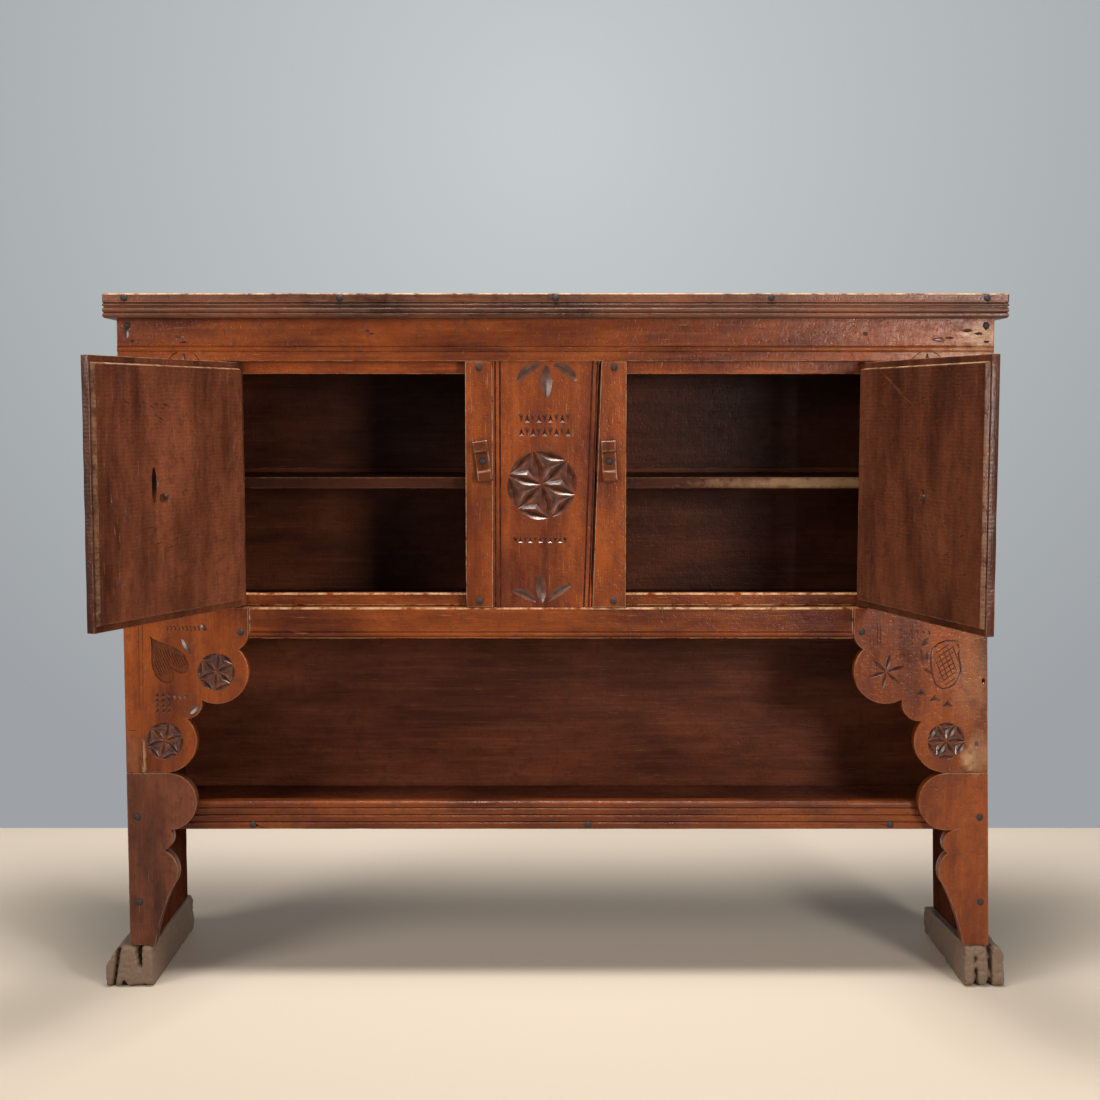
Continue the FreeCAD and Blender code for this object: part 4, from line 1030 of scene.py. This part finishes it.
def forged_nails(node):
    """Sets a domed, hammered head over the shank of each nail of a CAD node."""
    bm = board_mesh(node)
    shanks = []
    seen = set()
    for start in bm.verts:
        if start in seen:
            continue
        group = {start}
        grown = group
        while grown:
            grown = {e.other_vert(v) for v in grown for e in v.link_edges} - group
            group |= grown
        seen |= group
        shanks.append([v.co.copy() for v in group])
    bm.clear()
    for places in shanks:
        low, high = (Vector([pick(p[i] for p in places) for i in range(3)]) for pick in (min, max))
        reach = Vector(((high.x - low.x) * 0.52, 3.2 * MM, (high.z - low.z) * 0.52))
        seat = Vector(((low.x + high.x) / 2, low.y + 3.0 * MM, (low.z + high.z) / 2))
        made = bmesh.ops.create_uvsphere(bm, u_segments=9, v_segments=8, radius=1.0)["verts"]
        for v in made:
            knock = 1 + 0.16 * noise.noise(v.co * 2.3 + seat * 190)
            deep = v.co.y if v.co.y < 0 else v.co.y * 0.6
            v.co = [seat[i] + (deep if i == 1 else v.co[i]) * reach[i] * knock for i in range(3)]
    settle(bm, f"forged_{node}", "carcass", [node], "forged_iron", ["forged_iron"])


class CUPBOARD_OT_fittings(bpy.types.Operator):
    """Finishes the turn buttons, nails, knobs and pivot pins"""

    bl_idname = "cupboard.fittings"
    bl_label = "Buttons and iron"

    def execute(self, context):
        arris = context.scene.cupboard_wear.arris
        for k, name in enumerate(("left", "right")):
            worn_board(context, f"{name}_turn_button", 70 + k, 2, arris, 40.0, 0.5, "front_wood",
                       ["waxed_upright"], 0.6, f"{name}_button")
        for node in sorted(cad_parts):
            if node.endswith(("_nails", "_nail")):
                forged_nails(node)
            elif node.endswith(("_knob", "_pin")):
                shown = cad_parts[node].data.materials
                shown.clear()
                shown.append(bpy.data.materials["forged_iron"])
        return {"FINISHED"}


class CUPBOARD_OT_stage(bpy.types.Operator):
    """Sets the floor, the background, the lamps and the camera"""

    bl_idname = "cupboard.stage"
    bl_label = "Stage"

    def execute(self, context):
        scene = context.scene
        s = scene.cupboard_stage
        scene.view_settings.view_transform = "Standard"
        bm = bmesh.new()
        made = bmesh.ops.create_grid(bm, x_segments=1, y_segments=1, size=1.0)["verts"]
        for v in made:
            v.co = (v.co.x * 6, FRONT + s.wall_gap if v.co.y > 0 else -7.0, 0.0)
        material, tree, shader = blank("pale_floor")
        # The floor pales from the front to its far edge, 1 m behind the cupboard: painted light, darker in
        # front and paler behind, that evens out the lamps' fall-off across the floor
        place = add(tree, "ShaderNodeTexCoord").outputs["Object"]
        deep = add(tree, "ShaderNodeSeparateXYZ", {"Vector": place})
        tint = add(tree, "ShaderNodeMix", {
            "Factor": add(tree, "ShaderNodeMapRange", {
                "Value": deep.outputs["Y"], "From Min": -0.7, "From Max": 1.0}),
            "A": s.floor, "B": s.floor_far_painted_light}, data_type="RGBA")
        feed(tree, shader, {"Base Color": tint, "Roughness": 0.6})
        floor = placed("floor", closed(bm, "floor", [material]))

        world = bpy.data.worlds.new("studio")
        scene.world = world
        world.use_nodes = True
        tree = world.node_tree
        tree.nodes.clear()
        # The background is lightest behind the middle of the piece and darker towards its corners: painted
        # light falling off across the wall
        way = add(tree, "ShaderNodeTexCoord").outputs["Generated"]
        near = add(tree, "ShaderNodeVectorMath", {0: way, 1: (0.0, 0.985, 0.17)}, operation="DISTANCE")
        tint = add(tree, "ShaderNodeMix", {
            "Factor": add(tree, "ShaderNodeMapRange", {
                "Value": near.outputs["Value"], "From Min": 0.02, "From Max": 0.45}),
            "A": s.wall_lit_middle, "B": s.wall_shaded_corners}, data_type="RGBA")
        seen = add(tree, "ShaderNodeBackground", {"Color": tint, "Strength": 1.0})
        lit = add(tree, "ShaderNodeBackground", {"Color": linear("#f4f1ee"), "Strength": s.ambient})
        rays = add(tree, "ShaderNodeLightPath").outputs
        shows = add(tree, "ShaderNodeMath", {0: rays["Is Camera Ray"], 1: rays["Is Glossy Ray"]},
                    operation="MAXIMUM")
        mixed = add(tree, "ShaderNodeMixShader", {0: shows, 1: lit, 2: seen})
        add(tree, "ShaderNodeOutputWorld", {"Surface": mixed})

        aim = Vector((0.0, FRONT, 0.62))
        for name, place, size, power in (
                ("overhead_left", (-0.22, -0.4, 3.2), 0.8, s.key),
                ("overhead_right", (0.22, -0.4, 3.2), 0.8, s.key),
                ("softbox_left", (-2.2, -1.8, 1.6), 1.1, s.fill * 1.15),
                ("softbox_right", (1.3, -1.9, 1.05), 0.4, s.fill * 0.9)):
            lamp = bpy.data.lights.new(name, "AREA")
            lamp.shape = "SQUARE"
            lamp.size = size
            lamp.energy = power
            lamp.color = linear("#fff8f0")[:3]
            holder = placed(name, lamp)
            holder.location = place
            holder.rotation_euler = (aim - Vector(place)).to_track_quat("-Z", "Y").to_euler()

        camera = bpy.data.cameras.new("camera")
        camera.lens = s.lens
        camera.sensor_width = 36.0
        holder = placed("camera", camera)
        holder.location = (s.offset, FRONT - s.distance, s.height)
        holder.rotation_euler = (math.pi / 2 - s.pitch, 0.0, 0.0)
        scene.camera = holder
        return {"FINISHED"}


STEPS = (CUPBOARD_OT_finishes, CUPBOARD_OT_front_rails, CUPBOARD_OT_carved_sides, CUPBOARD_OT_centre_post,
         CUPBOARD_OT_top, CUPBOARD_OT_inside, CUPBOARD_OT_doors, CUPBOARD_OT_feet, CUPBOARD_OT_fittings,
         CUPBOARD_OT_stage)


class CUPBOARD_PT_panel(bpy.types.Panel):
    """Lists the steps that dress the cupboard"""

    bl_idname = "CUPBOARD_PT_panel"
    bl_label = "Carved Cupboard"
    bl_space_type = "VIEW_3D"
    bl_region_type = "UI"
    bl_category = "Cupboard"

    def draw(self, context):
        for step in STEPS:
            self.layout.operator(step.bl_idname)


SETTINGS = (("cupboard_finish", CupboardFinish), ("cupboard_wear", CupboardWear),
            ("cupboard_stage", CupboardStage))
CLASSES = tuple(group for _, group in SETTINGS) + STEPS + (CUPBOARD_PT_panel,)


def register():
    """Adds the settings, steps and panel to Blender."""
    for made in CLASSES:
        bpy.utils.register_class(made)
    for name, group in SETTINGS:
        setattr(bpy.types.Scene, name, bpy.props.PointerProperty(type=group))


def unregister():
    """Takes them out again."""
    for name, _ in SETTINGS:
        delattr(bpy.types.Scene, name)
    for made in reversed(CLASSES):
        bpy.utils.unregister_class(made)


def main():
    """Runs the steps in order."""
    register()
    for step in STEPS:
        group, name = step.bl_idname.split(".")
        getattr(getattr(bpy.ops, group), name)()


if __name__ == "__main__":
    main()
